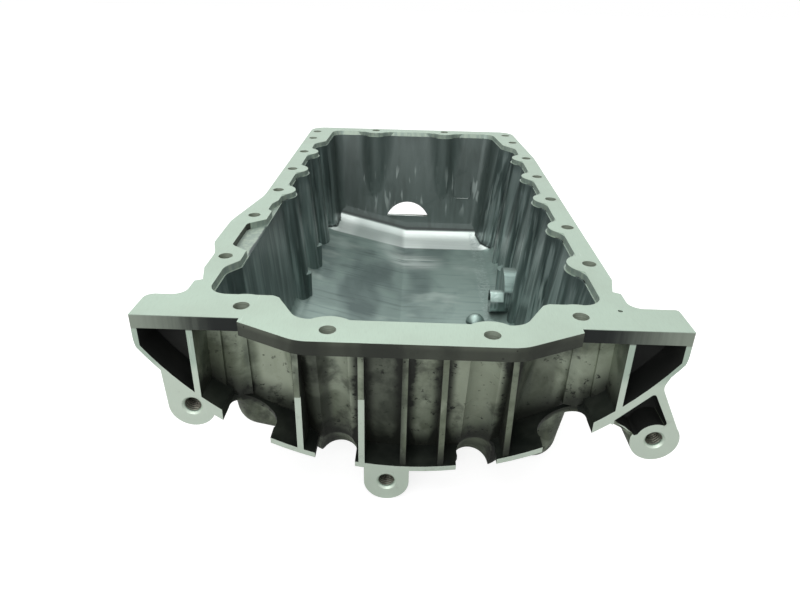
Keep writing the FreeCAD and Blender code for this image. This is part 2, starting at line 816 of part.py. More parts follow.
def bay_ribs():
    """Five upright ribs between the flange and the lip, the first two finished to the gearbox plane."""
    ribs = []
    thick = dim("rib_thickness")
    for number, middle in enumerate((-55.0, -23.2, -1.5, 18.3, 52.1), start=1):
        low = Size.of(middle) - thick / 2.0
        high = Size.of(middle) + thick / 2.0
        back = dim("gear_face") + dim("lip_length") - 2.0
        bottom = bell_point(Size.of(abs(middle)), dim("lip_thickness") / 2.0)
        if number <= 2:
            split = -dim("rib_machined_depth")
            cast_front = dim("gear_face") - dim("rib_cast_excess")
            ribs.append(box("rib_%d_cast" % number, low, high, cast_front, back, split, -FLANGE + 1.0))
            ribs.append(box("rib_%d" % number, low, high, dim("gear_face"), back, bottom, split))
        else:
            ribs.append(box("rib_%d" % number, low, high, dim("gear_face") + dim("rib_recess"), back, bottom,
                            -FLANGE + 1.0))
    return ribs


def lug_web(name, corners, x, depth, radius):
    """A bolt lug: a round boss about the bolt and the web that joins it to the skirt."""
    front = dim("gear_face")
    length = dim("ear_depth")
    web = facing(name + "_web", corners, front, length)
    boss = make("Part::Cylinder", name + "_boss", Radius=radius, Height=length)
    place(boss, x, front, -depth, (1, 0, 0), -90.0)
    return fuse(name, [web, boss])


def below_bell(item, name, thickness):
    """A lug less what would stand above the skirt that it hangs from."""
    disc = make("Part::Cylinder", name + "_above", Radius=dim("bell_radius") - thickness, Height=60.0)
    place(disc, 0.0, -5.0, dim("crank_height"), (1, 0, 0), -90.0)
    return cut(name, item, disc)


def lugs():
    radius = dim("lug_radius")
    left = -dim("left_lug_half")
    left_z = -dim("left_lug_depth")
    centre = -dim("centre_lug_half")
    centre_z = -dim("centre_lug_depth")
    right = dim("right_lug_half")
    right_z = -dim("right_lug_depth")
    left_web = [
        (left - radius, left_z, 0),
        (left + radius, left_z, 0),
        (left + radius, left_z + 11.0, 0),
        (left - radius - 1.0, left_z + 22.0, 0),
    ]
    centre_web = [
        (centre - radius, centre_z, 0),
        (centre + radius, centre_z, 0),
        (centre + radius, centre_z + 10.0, 0),
        (centre - radius, centre_z + 10.0, 0),
    ]
    right_web = [
        (right - 26.0, right_z + 10.5, 0),
        (right - 23.6, right_z + 9.3, 0),
        (right - 17.4, right_z + 6.0, 3.0),
        (right - 12.6, right_z + 1.6, 2.0),
        (right - 8.0, right_z - 8.0, 0),
        (right + 4.0, right_z - 8.0, 0),
        (right + radius - 1.0, right_z + 5.4, 0),
        (right - 2.2, right_z + 32.0, 6.0),
        (right + 0.6, right_z + 39.0, 0),
        (right - 9.0, right_z + 33.0, 0),
    ]
    ear = dim("band_thickness") - 1.2
    bay = dim("lip_thickness") / 2.0
    return [
        below_bell(lug_web("left_lug_whole", left_web, left, -left_z, radius), "left_lug", ear),
        below_bell(lug_web("centre_lug_whole", centre_web, centre, -centre_z, radius), "centre_lug", bay),
        below_bell(lug_web("right_lug_whole", right_web, right, -right_z, radius + 0.5), "right_lug", ear),
    ]


def lug_cuts():
    """The threaded holes with their countersinks, and the window beside the right lug."""
    cuts = []
    front = dim("gear_face")
    places = (("left", -dim("left_lug_half"), -dim("left_lug_depth")),
              ("centre", -dim("centre_lug_half"), -dim("centre_lug_depth")),
              ("right", dim("right_lug_half"), -dim("right_lug_depth")))
    sink = dim("countersink_radius") - dim("thread_radius")
    for word, x, z in places:
        length = dim("centre_thread_depth") if word == "centre" else dim("ear_depth") + 2.0
        hole = make("Part::Cylinder", "lug_hole_" + word, Radius=dim("thread_radius"), Height=length + 1.0)
        cuts.append(place(hole, x, front - 1.0, z, (1, 0, 0), -90.0))
        mouth = make("Part::Cone", "lug_sink_" + word, Radius1=dim("countersink_radius") + 0.1,
                     Radius2=dim("thread_radius"), Height=sink + 0.1)
        cuts.append(place(mouth, x, front - 0.1, z, (1, 0, 0), -90.0))
    right = dim("right_lug_half")
    right_z = -dim("right_lug_depth")
    triangle = facing("lug_window_outline", [
        (right - 22.9, right_z + 10.9, 0.8),
        (right - 16.6, right_z + 8.0, 4.0),
        (right - 10.8, right_z + 2.6, 0.8),
        (right + 4.5, right_z + 10.0, 1.5),
        (right - 5.2, right_z + 28.6, 1.5),
    ], front - 1.0, dim("lug_window_length") + 1.0)
    relief = facing("lug_window_relief", [
        (right - 22.0, right_z + 10.8, 0),
        (right - 23.5, right_z + 6.0, 0),
        (right - 14.0, right_z - 2.0, 0),
        (right - 11.6, right_z + 3.6, 0),
    ], front - 1.0, Size.of(2.4))
    cuts.append(relief)
    keep = make("Part::Cylinder", "lug_window_boss", Radius=dim("lug_window_wall"), Height=60.0)
    place(keep, right, -10.0, right_z, (1, 0, 0), -90.0)
    cuts.append(cut("lug_window", triangle, keep))
    return cuts


def bolt_cuts():
    cuts = []
    for name, x, y in BOLTS:
        hole = make("Part::Cylinder", "hole_" + name, Radius=dim("bolt_hole_radius"), Height=FLANGE + 2.0)
        cuts.append(place(hole, x, y, -FLANGE - 1.0))
    pin = make("Part::Cylinder", "locating_hole", Radius=dim("locating_hole_radius"),
               Height=dim("locating_hole_depth") + 1.0)
    cuts.append(place(pin, dim("side_row_half") + 1.4, dim("gear_face") + dim("ear_depth") - 3.0,
                      -dim("locating_hole_depth")))
    return cuts


def far_window():
    """An opening low in the far wall, round above and flat below."""
    top = -dim("window_sill") + dim("window_rise")
    disc = make("Part::Cylinder", "window_disc", Radius=dim("window_radius"), Height=60.0)
    place(disc, -dim("window_centre"), dim("far_wall") - 45.0, top - dim("window_radius"), (1, 0, 0), -90.0)
    keep = box("window_part", -80.0, 80.0, dim("far_wall") - 50.0, dim("far_wall") + 30.0,
               -dim("window_sill"), 0.0)
    return common("far_window", [disc, keep])


def drain_boss():
    """The thickened wall round the drain with the nose that reaches into the tub."""
    length = dim("drain_boss_outer") - dim("drain_boss_inner")
    boss = make("Part::Cylinder", "drain_boss_disc", Radius=dim("drain_boss_radius"), Height=length)
    place(boss, dim("drain_boss_inner"), dim("drain_boss_reach"), -dim("drain_boss_depth"), (0, 1, 0), 90.0)
    reach = dim("drain_boss_outer") - dim("drain_nose_inner")
    nose = make("Part::Cylinder", "drain_nose", Radius=dim("drain_nose_radius"), Height=reach)
    place(nose, dim("drain_nose_inner"), dim("drain_reach"), -dim("drain_depth"), (0, 1, 0), 90.0)
    level = slab("drain_level", -TUB_BOTTOM, Size.of(0))
    return common("drain_boss", [fuse("drain_boss_whole", [boss, nose]), level])


def drain_cut():
    bore = make("Part::Cylinder", "drain_bore", Radius=dim("drain_bore_radius"), Height=60.0)
    return place(bore, dim("drain_nose_inner") - 20.0, dim("drain_reach"), -dim("drain_depth"),
                 (0, 1, 0), 90.0)


def floor_dome():
    height = dim("dome_height")
    radius = (dim("dome_radius") * dim("dome_radius") + height * height) / (height * 2.0)
    ball = make("Part::Sphere", "floor_dome_ball", Radius=radius)
    x, y = dim("dome_half"), dim("dome_reach")
    place(ball, x, y, -dim("floor_depth") + height - radius)
    above = box("floor_dome_part", x - 12.0, x + 12.0, y - 12.0, y + 12.0, -dim("floor_depth") - 1.0,
                -dim("floor_depth") + 10.0)
    return common("floor_dome", [ball, above])


def pan_casting():
    seed = tub_seed()
    shell = common("tub_shell", [grown("tub_outside", seed, dim("inner_round") + dim("wall")),
                                 slab("tub_slab", -TUB_BOTTOM - 1.0, Size.of(0))])
    gear_end = cut("gear_end", fuse("gear_end_whole", skirt() + ears()), ear_trim())
    blank = fuse("casting_blank", [flange_plate(), shell, gear_end] + bay_ribs() + lugs() + nick_bosses())
    hollowed = cut("casting_hollowed", blank, hollow(seed))
    with_boss = fuse("casting_bossed", [hollowed, drain_boss(), floor_dome()])
    access = columns("access_", dim("access_radius"), -FLANGE, TUB_BOTTOM + 10.0)
    tools = access + rim_reliefs() + lug_cuts() + bolt_cuts() + [far_window(), drain_cut()]
    casting = cut("casting", with_boss, fuse("casting_cuts", tools))
    return casting


def drain_plug():
    start = dim("drain_boss_outer")
    along = dim("drain_reach")
    level = -dim("drain_depth")
    seat = start + dim("seal_thickness")
    shank_radius = dim("drain_bore_radius") - dim("drain_thread_gap")
    shank = make("Part::Cylinder", "plug_shank", Radius=shank_radius,
                 Height=dim("drain_shank_length") + dim("seal_thickness"))
    place(shank, start - dim("drain_shank_length"), along, level, (0, 1, 0), 90.0)
    collar = make("Part::Cylinder", "plug_collar", Radius=dim("drain_flange_radius"),
                  Height=dim("drain_flange_thickness"))
    place(collar, seat, along, level, (0, 1, 0), 90.0)
    head = doc.addObject("Part::Prism", "plug_hex")
    head.Polygon = 6
    flats = dim("drain_hex_flats")
    bind(head, "Circumradius", flats / root(Size.of(3)))
    bind(head, "Height", dim("drain_hex_height") + 0.5)
    place(head, seat + dim("drain_flange_thickness") - 0.5, along, level, (0, 1, 0), 90.0)
    return fuse("drain_plug", [shank, collar, head])


def drain_seal():
    start = dim("drain_boss_outer")
    ring = make("Part::Cylinder", "seal_ring", Radius=dim("seal_outer_radius"), Height=dim("seal_thickness"))
    place(ring, start, dim("drain_reach"), -dim("drain_depth"), (0, 1, 0), 90.0)
    hole = make("Part::Cylinder", "seal_hole", Radius=dim("drain_bore_radius"), Height=dim("seal_thickness") + 2.0)
    place(hole, start - 1.0, dim("drain_reach"), -dim("drain_depth"), (0, 1, 0), 90.0)
    return cut("drain_plug_seal", ring, hole)


def write_parts(nodes):
    doc.recompute()
    for item in doc.Objects:
        if "Invalid" in item.State or "Error" in item.State:
            raise RuntimeError("failed: " + item.Name + " " + str(item.State))
    os.makedirs("parts", exist_ok=True)
    for label, item in nodes.items():
        item.Label = label
        shape = item.Shape
        if shape.isNull() or not shape.isValid():
            raise RuntimeError("bad shape: " + label)
        print(label, "solids", len(shape.Solids), "faces", len(shape.Faces), "volume", round(shape.Volume, 1))
        shape.exportStep("parts/" + label + ".step")


write_parts({
    "pan_casting": pan_casting(),
    "drain_plug": drain_plug(),
    "drain_plug_seal": drain_seal(),
})
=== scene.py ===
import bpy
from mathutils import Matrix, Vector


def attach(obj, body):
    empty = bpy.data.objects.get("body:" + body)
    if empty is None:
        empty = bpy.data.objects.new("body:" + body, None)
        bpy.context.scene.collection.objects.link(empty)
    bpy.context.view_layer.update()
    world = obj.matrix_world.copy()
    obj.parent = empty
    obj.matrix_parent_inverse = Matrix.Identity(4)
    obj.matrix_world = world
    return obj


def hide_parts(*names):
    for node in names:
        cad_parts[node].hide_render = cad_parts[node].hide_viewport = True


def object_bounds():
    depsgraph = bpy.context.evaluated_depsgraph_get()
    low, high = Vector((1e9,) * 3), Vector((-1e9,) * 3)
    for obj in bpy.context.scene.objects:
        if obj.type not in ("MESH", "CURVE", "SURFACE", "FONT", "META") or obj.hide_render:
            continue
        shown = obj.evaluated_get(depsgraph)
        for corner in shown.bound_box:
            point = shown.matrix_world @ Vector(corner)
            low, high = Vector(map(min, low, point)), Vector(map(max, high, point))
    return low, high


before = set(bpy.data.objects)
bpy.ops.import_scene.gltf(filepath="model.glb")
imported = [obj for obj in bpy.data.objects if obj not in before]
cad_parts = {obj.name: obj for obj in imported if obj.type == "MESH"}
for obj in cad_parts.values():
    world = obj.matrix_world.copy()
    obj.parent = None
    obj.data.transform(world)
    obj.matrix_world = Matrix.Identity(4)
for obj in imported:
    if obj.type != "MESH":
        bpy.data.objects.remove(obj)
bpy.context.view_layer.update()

import math
import bmesh
import bpy
from mathutils import Matrix, Vector
from mathutils.bvhtree import BVHTree

mm = 0.001
crankHeight = 74.2  # the crank's axis above the gasket face, in mm
gearFace = 8.4  # the milled face towards the gearbox, in mm along Y
lugHoles = [(-108.7, -51.7), (-10.0, -97.4), (126.1, -63.3)]
print("frame loaded", sorted(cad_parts))


# Shader maths: a socket that adds, subtracts and multiplies like a number
class Wire:
    def __init__(self, tree, socket):
        self.tree = tree
        self.socket = socket

    def sum(self, operation, *others):
        values = {i: v for i, v in enumerate((self,) + others)}
        return self.tree.node("ShaderNodeMath", {"operation": operation}, values)

    def __add__(self, other):
        return self.sum("ADD", other)

    def __radd__(self, other):
        return self.sum("ADD", other)

    def __sub__(self, other):
        return self.sum("SUBTRACT", other)

    def __rsub__(self, other):
        return self.tree.node("ShaderNodeMath", {"operation": "SUBTRACT"}, {0: other, 1: self})

    def __mul__(self, other):
        return self.sum("MULTIPLY", other)

    def __rmul__(self, other):
        return self.sum("MULTIPLY", other)

    def band(self, low, high):
        # 0 below low, 1 above high, smooth between
        settings = {"interpolation_type": "SMOOTHSTEP"}
        values = {"Value": self, "From Min": low, "From Max": high}
        return self.tree.node("ShaderNodeMapRange", settings, values)

    def rise(self, low, high):
        # the same for a place, with low and high in millimetres
        return self.band(low * mm, high * mm)

    def between(self, start, full, fade, end):
        # 1 from full to fade, 0 outside start and end, in millimetres
        return self.rise(start, full) * (1.0 - self.rise(fade, end))

    def size(self):
        return self.sum("ABSOLUTE")

    def atMost(self, other):
        return self.sum("MINIMUM", other)

    def atLeast(self, other):
        return self.sum("MAXIMUM", other)


class ShaderTree:
    def __init__(self, name):
        self.material = bpy.data.materials.new(name)
        self.material.use_nodes = True
        self.nodes = self.material.node_tree.nodes
        self.links = self.material.node_tree.links
        self.shader = self.nodes["Principled BSDF"]
        self.place = self.node("ShaderNodeTexCoord", out="Object")

    def node(self, kind, settings=None, values=None, out=0):
        made = self.nodes.new(kind)
        for key, value in (settings or {}).items():
            setattr(made, key, value)
        for key, value in (values or {}).items():
            self.feed(made.inputs[key], value)
        return Wire(self, made.outputs[out])

    def feed(self, socket, value):
        if isinstance(value, Wire):
            self.links.new(value.socket, socket)
        elif socket.type == "RGBA" and len(value) == 3:
            socket.default_value = (*value, 1.0)
        else:
            socket.default_value = value

    def axis(self, letter):
        return self.node("ShaderNodeSeparateXYZ", None, {"Vector": self.place}, out=letter)

    def facing(self, letter):
        normal = self.node("ShaderNodeNewGeometry", out="Normal")
        return self.node("ShaderNodeSeparateXYZ", None, {"Vector": normal}, out=letter)

    def noise(self, scale=1.0, detail=3.0, rough=0.55, warp=0.0, stretch=None, turn=(0, 0, 0)):
        place = self.place
        if stretch:
            values = {"Vector": place, "Scale": stretch, "Rotation": turn}
            place = self.node("ShaderNodeMapping", {"vector_type": "POINT"}, values)
        values = {"Vector": place, "Scale": scale, "Detail": detail, "Roughness": rough}
        values["Distortion"] = warp
        return self.node("ShaderNodeTexNoise", None, values)

    def mask(self, layer):
        # a noise cut to a band and weakened to its share
        return self.noise(**layer["noise"]).band(*layer["band"]) * layer["share"]

    def coat(self, under, layer, where=1.0):
        return self.blend(self.mask(layer) * where, under, layer["colour"])

    def blend(self, amount, first, second):
        mixer = self.nodes.new("ShaderNodeMix")
        mixer.data_type = "RGBA"
        sockets = {s.identifier: s for s in mixer.inputs}
        self.feed(sockets["Factor_Float"], amount)
        self.feed(sockets["A_Color"], first)
        self.feed(sockets["B_Color"], second)
        return Wire(self, {s.identifier: s for s in mixer.outputs}["Result_Color"])

    def bump(self, height, distance, strength):
        values = {"Height": height, "Distance": distance, "Strength": strength}
        return self.node("ShaderNodeBump", None, values)

    def finish(self, **sockets):
        for key, value in sockets.items():
            self.feed(self.shader.inputs[key.replace("_", " ")], value)
        return self.material


# The milled faces. In every finish, places are in millimetres and layers go on in this order
machined = {
    "colour": (0.405, 0.51, 0.425),
    "worn": {
        "noise": {"scale": 24.0},
        "band": (0.35, 0.75), "share": 0.45, "colour": (0.345, 0.415, 0.345),
    },
    "brushed": {
        "noise": {"scale": 60.0, "detail": 2.0, "stretch": (60.0, 3.0, 3.0), "turn": (0, 0, 0.06)},
        "band": (0.45, 0.75), "share": 0.20, "colour": (0.26, 0.31, 0.26),
    },
    "scratch": {
        "noise": {"detail": 2.0, "stretch": (900.0, 26.0, 26.0), "turn": (0, 0, 0.7)},
        "band": (0.70, 0.74), "share": 0.25, "colour": (0.75, 0.82, 0.76),
    },
    "spots": {
        "noise": {"scale": 150.0, "detail": 4.0},
        "band": (0.63, 0.70), "share": 0.5, "colour": (0.10, 0.11, 0.085),
    },
    "long": {"scale": 30.0, "detail": 4.0, "stretch": (40.0, 1.2, 1.2)},
    "topZ": (-0.5, -0.1),
    "frontY": (9.0, 9.5),
    "behindY": (9.5, 10.0),
    "lower": (0.66, 0.74, 0.64),
    "lowerShare": 0.6,
    "lowerZ": (-32, -24),
    "rim": (0.26, 0.325, 0.285),
    "rimMarks": {
        "noise": {"stretch": (300.0, 300.0, 40.0)},
        "band": (0.42, 0.62), "share": 1.0, "colour": (0.345, 0.415, 0.345),
    },
    "rimZ": (-4.3, -3.9),
    "shelf": (0.05, 0.07, 0.066),
    "shelfWave": {"scale": 60.0, "detail": 2.0},
    "shelfWaveReach": 3.0,
    "shelfEdgeX": (-97.6, -96.4),
    "shelfEndX": (-92, -90),
    "shelfY": (88, 94, 138, 142),
    "shelfZ": (-3.9, -3.5),
    # painted shade on the ears' front plates, darkest towards the middle
    "plate": (0.25, 0.29, 0.24),
    "plateShade": (0.012, 0.015, 0.014),
    "plateZ": (-8.2, -7.2),
    "plateFadeX": (90, 134),
    "fan": {"detail": 4.0, "stretch": (420.0, 60.0, 26.0), "turn": (0, 0.45, 0)},
    "fanReach": 16.0,
    "metallic": 0.55,
    "rough": 0.38,
    "bumpDepth": 0.04 * mm,
    "bumpStrength": 0.4,
}


def makeMachined():
    t = ShaderTree("machinedAluminium")
    x, y, z = t.axis("X"), t.axis("Y"), t.axis("Z")
    top = z.rise(*machined["topZ"])
    front = (1.0 - top) * (1.0 - y.rise(*machined["frontY"]))
    behind = (1.0 - top) * y.rise(*machined["behindY"])
    colour = t.coat(machined["colour"], machined["worn"])
    colour = t.coat(colour, machined["brushed"])
    colour = t.coat(colour, machined["scratch"])
    colour = t.coat(colour, machined["spots"], 1.0 - top)
    # the lugs' and ribs' faces below the ears are milled brighter
    lower = front * (1.0 - z.rise(*machined["lowerZ"]))
    colour = t.blend(lower * machined["lowerShare"], colour, machined["lower"])
    # the cutter's marks run round the inner rim
    rim = t.coat(machined["rim"], machined["rimMarks"])
    colour = t.blend(behind * z.rise(*machined["rimZ"]), colour, rim)
    # the shelf in the left rim is cast where it nears the wall
    wave = (t.noise(**machined["shelfWave"]) - 0.5) * (machined["shelfWaveReach"] * mm)
    shelf = (x + wave).rise(*machined["shelfEdgeX"]) * (1.0 - z.rise(*machined["shelfZ"]))
    shelf = shelf * (1.0 - x.rise(*machined["shelfEndX"])) * y.between(*machined["shelfY"])
    colour = t.blend(shelf, colour, machined["shelf"])
    # painted shade: the ears' front plates are darker than the top and darken further towards the middle
    # of the pan, with an edge in fans of the cutter's path
    plate = z.rise(*machined["plateZ"]) * front
    fan = (t.noise(**machined["fan"]) - 0.5) * (machined["fanReach"] * mm)
    colour = t.blend(plate, colour, machined["plate"])
    paintedShade = (1.0 - (x.size() + fan).rise(*machined["plateFadeX"])) * plate
    colour = t.blend(paintedShade, colour, machined["plateShade"])
    long, fine = t.noise(**machined["long"]), t.noise(**machined["brushed"]["noise"])
    rough = machined["rough"] + long * 0.12 + fine * 0.08
    height = long * 0.6 + fine * 0.4 + t.mask(machined["scratch"]) * 2.0
    relief = t.bump(height, machined["bumpDepth"], machined["bumpStrength"])
    return t.finish(Base_Color=colour, Metallic=machined["metallic"], Roughness=rough, Normal=relief)


# The walls of the drilled holes
drilled = {
    "colour": (0.34, 0.39, 0.32),
    "rings": {
        "noise": {"stretch": (60.0, 60.0, 2600.0)},
        "band": (0.4, 0.65), "share": 0.5, "colour": (0.16, 0.18, 0.14),
    },
    # painted shade deeper in the holes
    "deep": (0.12, 0.13, 0.09),
    "boreShadeShare": 0.4,
    "boreShadeZ": (-7.0, -1.5),
    "metallic": 0.35,
    "rough": 0.42,
    "bumpDepth": 0.08 * mm,
    "bumpStrength": 0.4,
}


def makeBore():
    t = ShaderTree("drilledWall")
    colour = t.coat(drilled["colour"], drilled["rings"])
    # painted shade: the walls of the holes darken with depth
    deep = (1.0 - t.axis("Z").rise(*drilled["boreShadeZ"])) * drilled["boreShadeShare"]
    colour = t.blend(deep, colour, drilled["deep"])
    rings = t.noise(**drilled["rings"]["noise"])
    relief = t.bump(rings, drilled["bumpDepth"], drilled["bumpStrength"])
    return t.finish(Base_Color=colour, Metallic=drilled["metallic"], Roughness=drilled["rough"],
                    Normal=relief)


# The cast skin inside the tub
insideSkin = {
    "wall": (0.105, 0.142, 0.135),
    "deep": {
        "noise": {"detail": 2.0, "stretch": (85.0, 85.0, 3.0), "turn": (0.05, 0, 0.3)},
        "band": (0.45, 0.62), "share": 0.8, "colour": (0.050, 0.070, 0.066),
    },
    # painted highlight streaks on the walls
    "wallHighlight": (0.30, 0.37, 0.355),
    "streak": {
        "noise": {"detail": 4.0, "stretch": (190.0, 190.0, 4.0)},
        "band": (0.46, 0.66), "share": 0.6,
    },
    "wide": {
        "noise": {"detail": 2.0, "stretch": (60.0, 60.0, 3.5)},
        "band": (0.50, 0.66), "share": 0.5,
    },
    "rimShadeZ": (-14, -4),
    "farY": (376, 396),
    # painted shade on the far wall
    "farShade": (0.040, 0.056, 0.050),
    "farShadeShare": 0.72,
    "rightX": (40, 70),
    # painted glints low on the walls
    "paintedGlint": {
        "noise": {"detail": 2.0, "stretch": (150.0, 150.0, 9.0)},
        "band": (0.60, 0.68), "share": 1.0, "colour": (0.62, 0.71, 0.68),
    },
    "paintedGlintZ": (-88, -70, -44, -30),
    "floor": (0.31, 0.41, 0.375),
    "floorDark": (0.115, 0.162, 0.155),
    "patch": {
        "noise": {"scale": 13.0, "detail": 2.0, "stretch": (1.6, 0.7, 1.0), "turn": (0, 0, 0.2)},
        "band": (0.46, 0.62), "share": 0.6,
    },
    "cloud": {
        "noise": {"scale": 16.0, "detail": 4.0, "warp": 0.6},
        "band": (0.44, 0.66), "share": 0.4,
    },
    "brushed": {
        "noise": {"detail": 4.0, "stretch": (22.0, 300.0, 60.0), "turn": (0, 0, 0.12)},
        "band": (0.5, 0.7), "share": 0.3,
    },
    # painted highlight patches on the floor
    "gleam": {
        "noise": {"scale": 17.0, "stretch": (1.0, 1.5, 1.0)},
        "band": (0.54, 0.70), "share": 0.45, "colour": (0.56, 0.66, 0.61),
    },
    # a painted reflection of light on the floor before the ramp
    "spot": (0.80, 0.88, 0.84),
    "spotShare": 0.55,
    "spotX": (-28, -6, 14, 38),
    "spotY": (296, 314, 326, 344),
    "spotBand": (0.35, 0.6),
    # painted highlight on the ramp below the far wall
    "rampHighlight": (0.92, 1.0, 0.96),
    "rampY": (355, 358),
    "rampSlope": (0.70, 0.76),
    "rampDimX": (-66, -54, -12, -6),
    "rampDim": 0.40,
    "strip": {
        "noise": {"scale": 260.0, "warp": 1.2},
        "band": (0.45, 0.6), "share": 0.5, "colour": (0.50, 0.60, 0.57),
    },
    "stripX": (60, 63, 71, 74),
    "nearRampY": (350, 356),
    "steepest": (0.30, 0.66),  # how far a floor face may lean before the ramp and on it
    "floorZ": (-66, -58),
    # painted shade in the crease below the far wall
    "crease": (0.012, 0.017, 0.015),
    "creaseShare": 0.8,
    "creaseSlope": 0.64,
    "creaseWidth": (0.02, 0.10),
    "creaseZ": (-60, -50),
    "grain": {"scale": 900.0},
    "metallic": 0.65,
    "rough": 0.24,
    "bumpDepth": 0.3 * mm,
    "bumpStrength": 0.4,
}


def makeInside():
    t = ShaderTree("insideCastSkin")
    x, y, z = t.axis("X"), t.axis("Y"), t.axis("Z")
    up = t.facing("Z")
    grain = t.noise(**insideSkin["grain"])
    streak = t.noise(**insideSkin["streak"]["noise"])
    brushed = t.noise(**insideSkin["brushed"]["noise"])
    far = y.rise(*insideSkin["farY"])
    right = x.rise(*insideSkin["rightX"]) * (1.0 - far)
    # walls: painted highlight streaks that run down, weaker at the far end, stronger on the right wall,
    # and dimmed by painted shade under the rim
    wall = t.coat(insideSkin["wall"], insideSkin["deep"])
    light = t.mask(insideSkin["streak"]) + t.mask(insideSkin["wide"])
    light = light * (1.0 - far * 0.70) * (1.0 + right * 0.8)
    light = light * (1.0 - z.rise(*insideSkin["rimShadeZ"]) * 0.7)
    wall = t.blend(light.atMost(1.0), wall, insideSkin["wallHighlight"])
    # painted shade: the far wall is darker
    wall = t.blend(far * insideSkin["farShadeShare"], wall, insideSkin["farShade"])
    # painted glints low on the walls, most on the right
    glint = z.between(*insideSkin["paintedGlintZ"]) * (0.14 + right * 0.40 + far * 0.08)
    wall = t.coat(wall, insideSkin["paintedGlint"], glint)
    # floor: dark patches, a painted gleam and one bright spot that is a painted reflection of light
    shade = t.mask(insideSkin["patch"]) + t.mask(insideSkin["cloud"]) + t.mask(insideSkin["brushed"])
    flat = t.blend(shade.atMost(1.0), insideSkin["floor"], insideSkin["floorDark"])
    # painted highlight: gleaming patches on the floor
    flat = t.coat(flat, insideSkin["gleam"])
    spot = x.between(*insideSkin["spotX"]) * y.between(*insideSkin["spotY"])
    spot = spot * brushed.band(*insideSkin["spotBand"]) * insideSkin["spotShare"]
    flat = t.blend(spot, flat, insideSkin["spot"])
    # painted highlight: the ramp below the far wall shines, less so left of the crease
    dim = 1.0 - x.between(*insideSkin["rampDimX"]) * insideSkin["rampDim"]
    rampHighlight = y.rise(*insideSkin["rampY"]) * up.band(*insideSkin["rampSlope"]) * dim
    flat = t.blend(rampHighlight * (0.8 + brushed * 0.3), flat, insideSkin["rampHighlight"])
    # a strip of rough skin along the right edge of the floor
    strip = x.between(*insideSkin["stripX"])
    flat = t.coat(flat, insideSkin["strip"], strip)
    nearRamp = y.rise(*insideSkin["nearRampY"])
    before, on = insideSkin["steepest"]
    steepest = (1.0 - nearRamp) * before + nearRamp * on
    floorMask = (up - steepest).band(0.0, 0.12) * (1.0 - z.rise(*insideSkin["floorZ"]))
    colour = t.blend(floorMask, wall, flat)
    # painted shade: the dark line in the crease where the ramp meets the far wall
    crease = 1.0 - (up - insideSkin["creaseSlope"]).size().band(*insideSkin["creaseWidth"])
    crease = crease * nearRamp * (1.0 - z.rise(*insideSkin["creaseZ"])) * insideSkin["creaseShare"]
    colour = t.blend(crease, colour, insideSkin["crease"])
    rough = insideSkin["rough"] + streak * 0.12 + grain * 0.05 + floorMask * 0.05 + far * 0.10
    worm = t.noise(**insideSkin["strip"]["noise"]) * strip * 0.8
    height = streak * (1.0 - floorMask) * 0.8 + (brushed * 0.3 + worm) * floorMask + grain * 0.08
    metallic = insideSkin["metallic"] - far * 0.35
    relief = t.bump(height, insideSkin["bumpDepth"], insideSkin["bumpStrength"])
    return t.finish(Base_Color=colour, Metallic=metallic, Roughness=rough, Normal=relief)


# The cast skin outside, with its grime
outsideSkin = {
    "colour": (0.125, 0.148, 0.102),
    "light": (0.31, 0.36, 0.275),
    "cloud": {"scale": 34.0, "detail": 5.0, "rough": 0.62, "warp": 0.5},
    "lightBand": (0.40, 0.64),
    "cool": {
        "noise": {"detail": 4.0, "stretch": (80.0, 80.0, 12.0)},
        "band": (0.52, 0.68), "share": 0.55, "colour": (0.085, 0.105, 0.088),
    },
    "grain": {
        "noise": {"scale": 620.0, "detail": 4.0, "rough": 0.65},
        "band": (0.55, 0.75), "share": 0.40, "colour": (0.070, 0.078, 0.058),
    },
    "bayY": (44, 60),
    "flankX": (56, 70),
    # stretches of the skirt's bays along X, each with its start, end and level
    # painted shade in the darker bays
    "paintedShade": ((-54.0, -38.0, 0.88), (-24.0, 0.0, 0.88), (52.0, 80.0, 0.50)),
    "darkColour": (0.040, 0.047, 0.036),
    "darkSoft": 4.0,
    # painted highlight on the lit bays
    "paintedHighlight": ((-82.0, -57.0, 0.95), (-38.0, -26.0, 0.50), (2.0, 16.0, 0.25), (20.0, 50.0, 0.70)),
    "paleColour": (0.47, 0.53, 0.41),
    "paleSoft": 5.0,
    "paleZ": (-76, -50),
    "bright": {
        "noise": {"scale": 20.0, "detail": 4.0, "rough": 0.6, "warp": 0.8},
        "band": (0.50, 0.66), "share": 0.55, "colour": (0.44, 0.50, 0.39),
    },
    "stain": (0.018, 0.021, 0.016),
    "ribs": (-55.0, -23.2, -1.5, 18.3, 52.1),
    "ribSide": (1.9, 7.0),
    "ribFace": (1.40, 1.50),
    "underZ": (-17, -8),
    "skirtGrimeAndShade": (143, 159),
    "skirtClear": (161.5, 165.0),
    "edgeZ": (-7.6, -7.2),
    "edgeTopZ": (-3.2, -0.5),
    "pitScale": 260.0,
    "pitSize": (0.06, 0.22),
    "pitPlace": {"noise": {"scale": 60.0, "detail": 2.0}, "band": (0.56, 0.66), "share": 1.0},
    "blot": {
        "noise": {"scale": 46.0, "detail": 5.0, "rough": 0.65}, "band": (0.52, 0.68), "share": 0.6,
    },
    "fleck": {
        "noise": {"scale": 210.0, "detail": 4.0, "rough": 0.7}, "band": (0.60, 0.68), "share": 0.6,
    },
    "metallic": 0.45,
    "rough": 0.42,
    "bumpDepth": 0.4 * mm,
    "bumpStrength": 0.5,
}


def stretches(x, spans, soft):
    total = 0.0
    for start, end, level in spans:
        total = x.between(start, start + soft, end - soft, end) * level + total
    return total


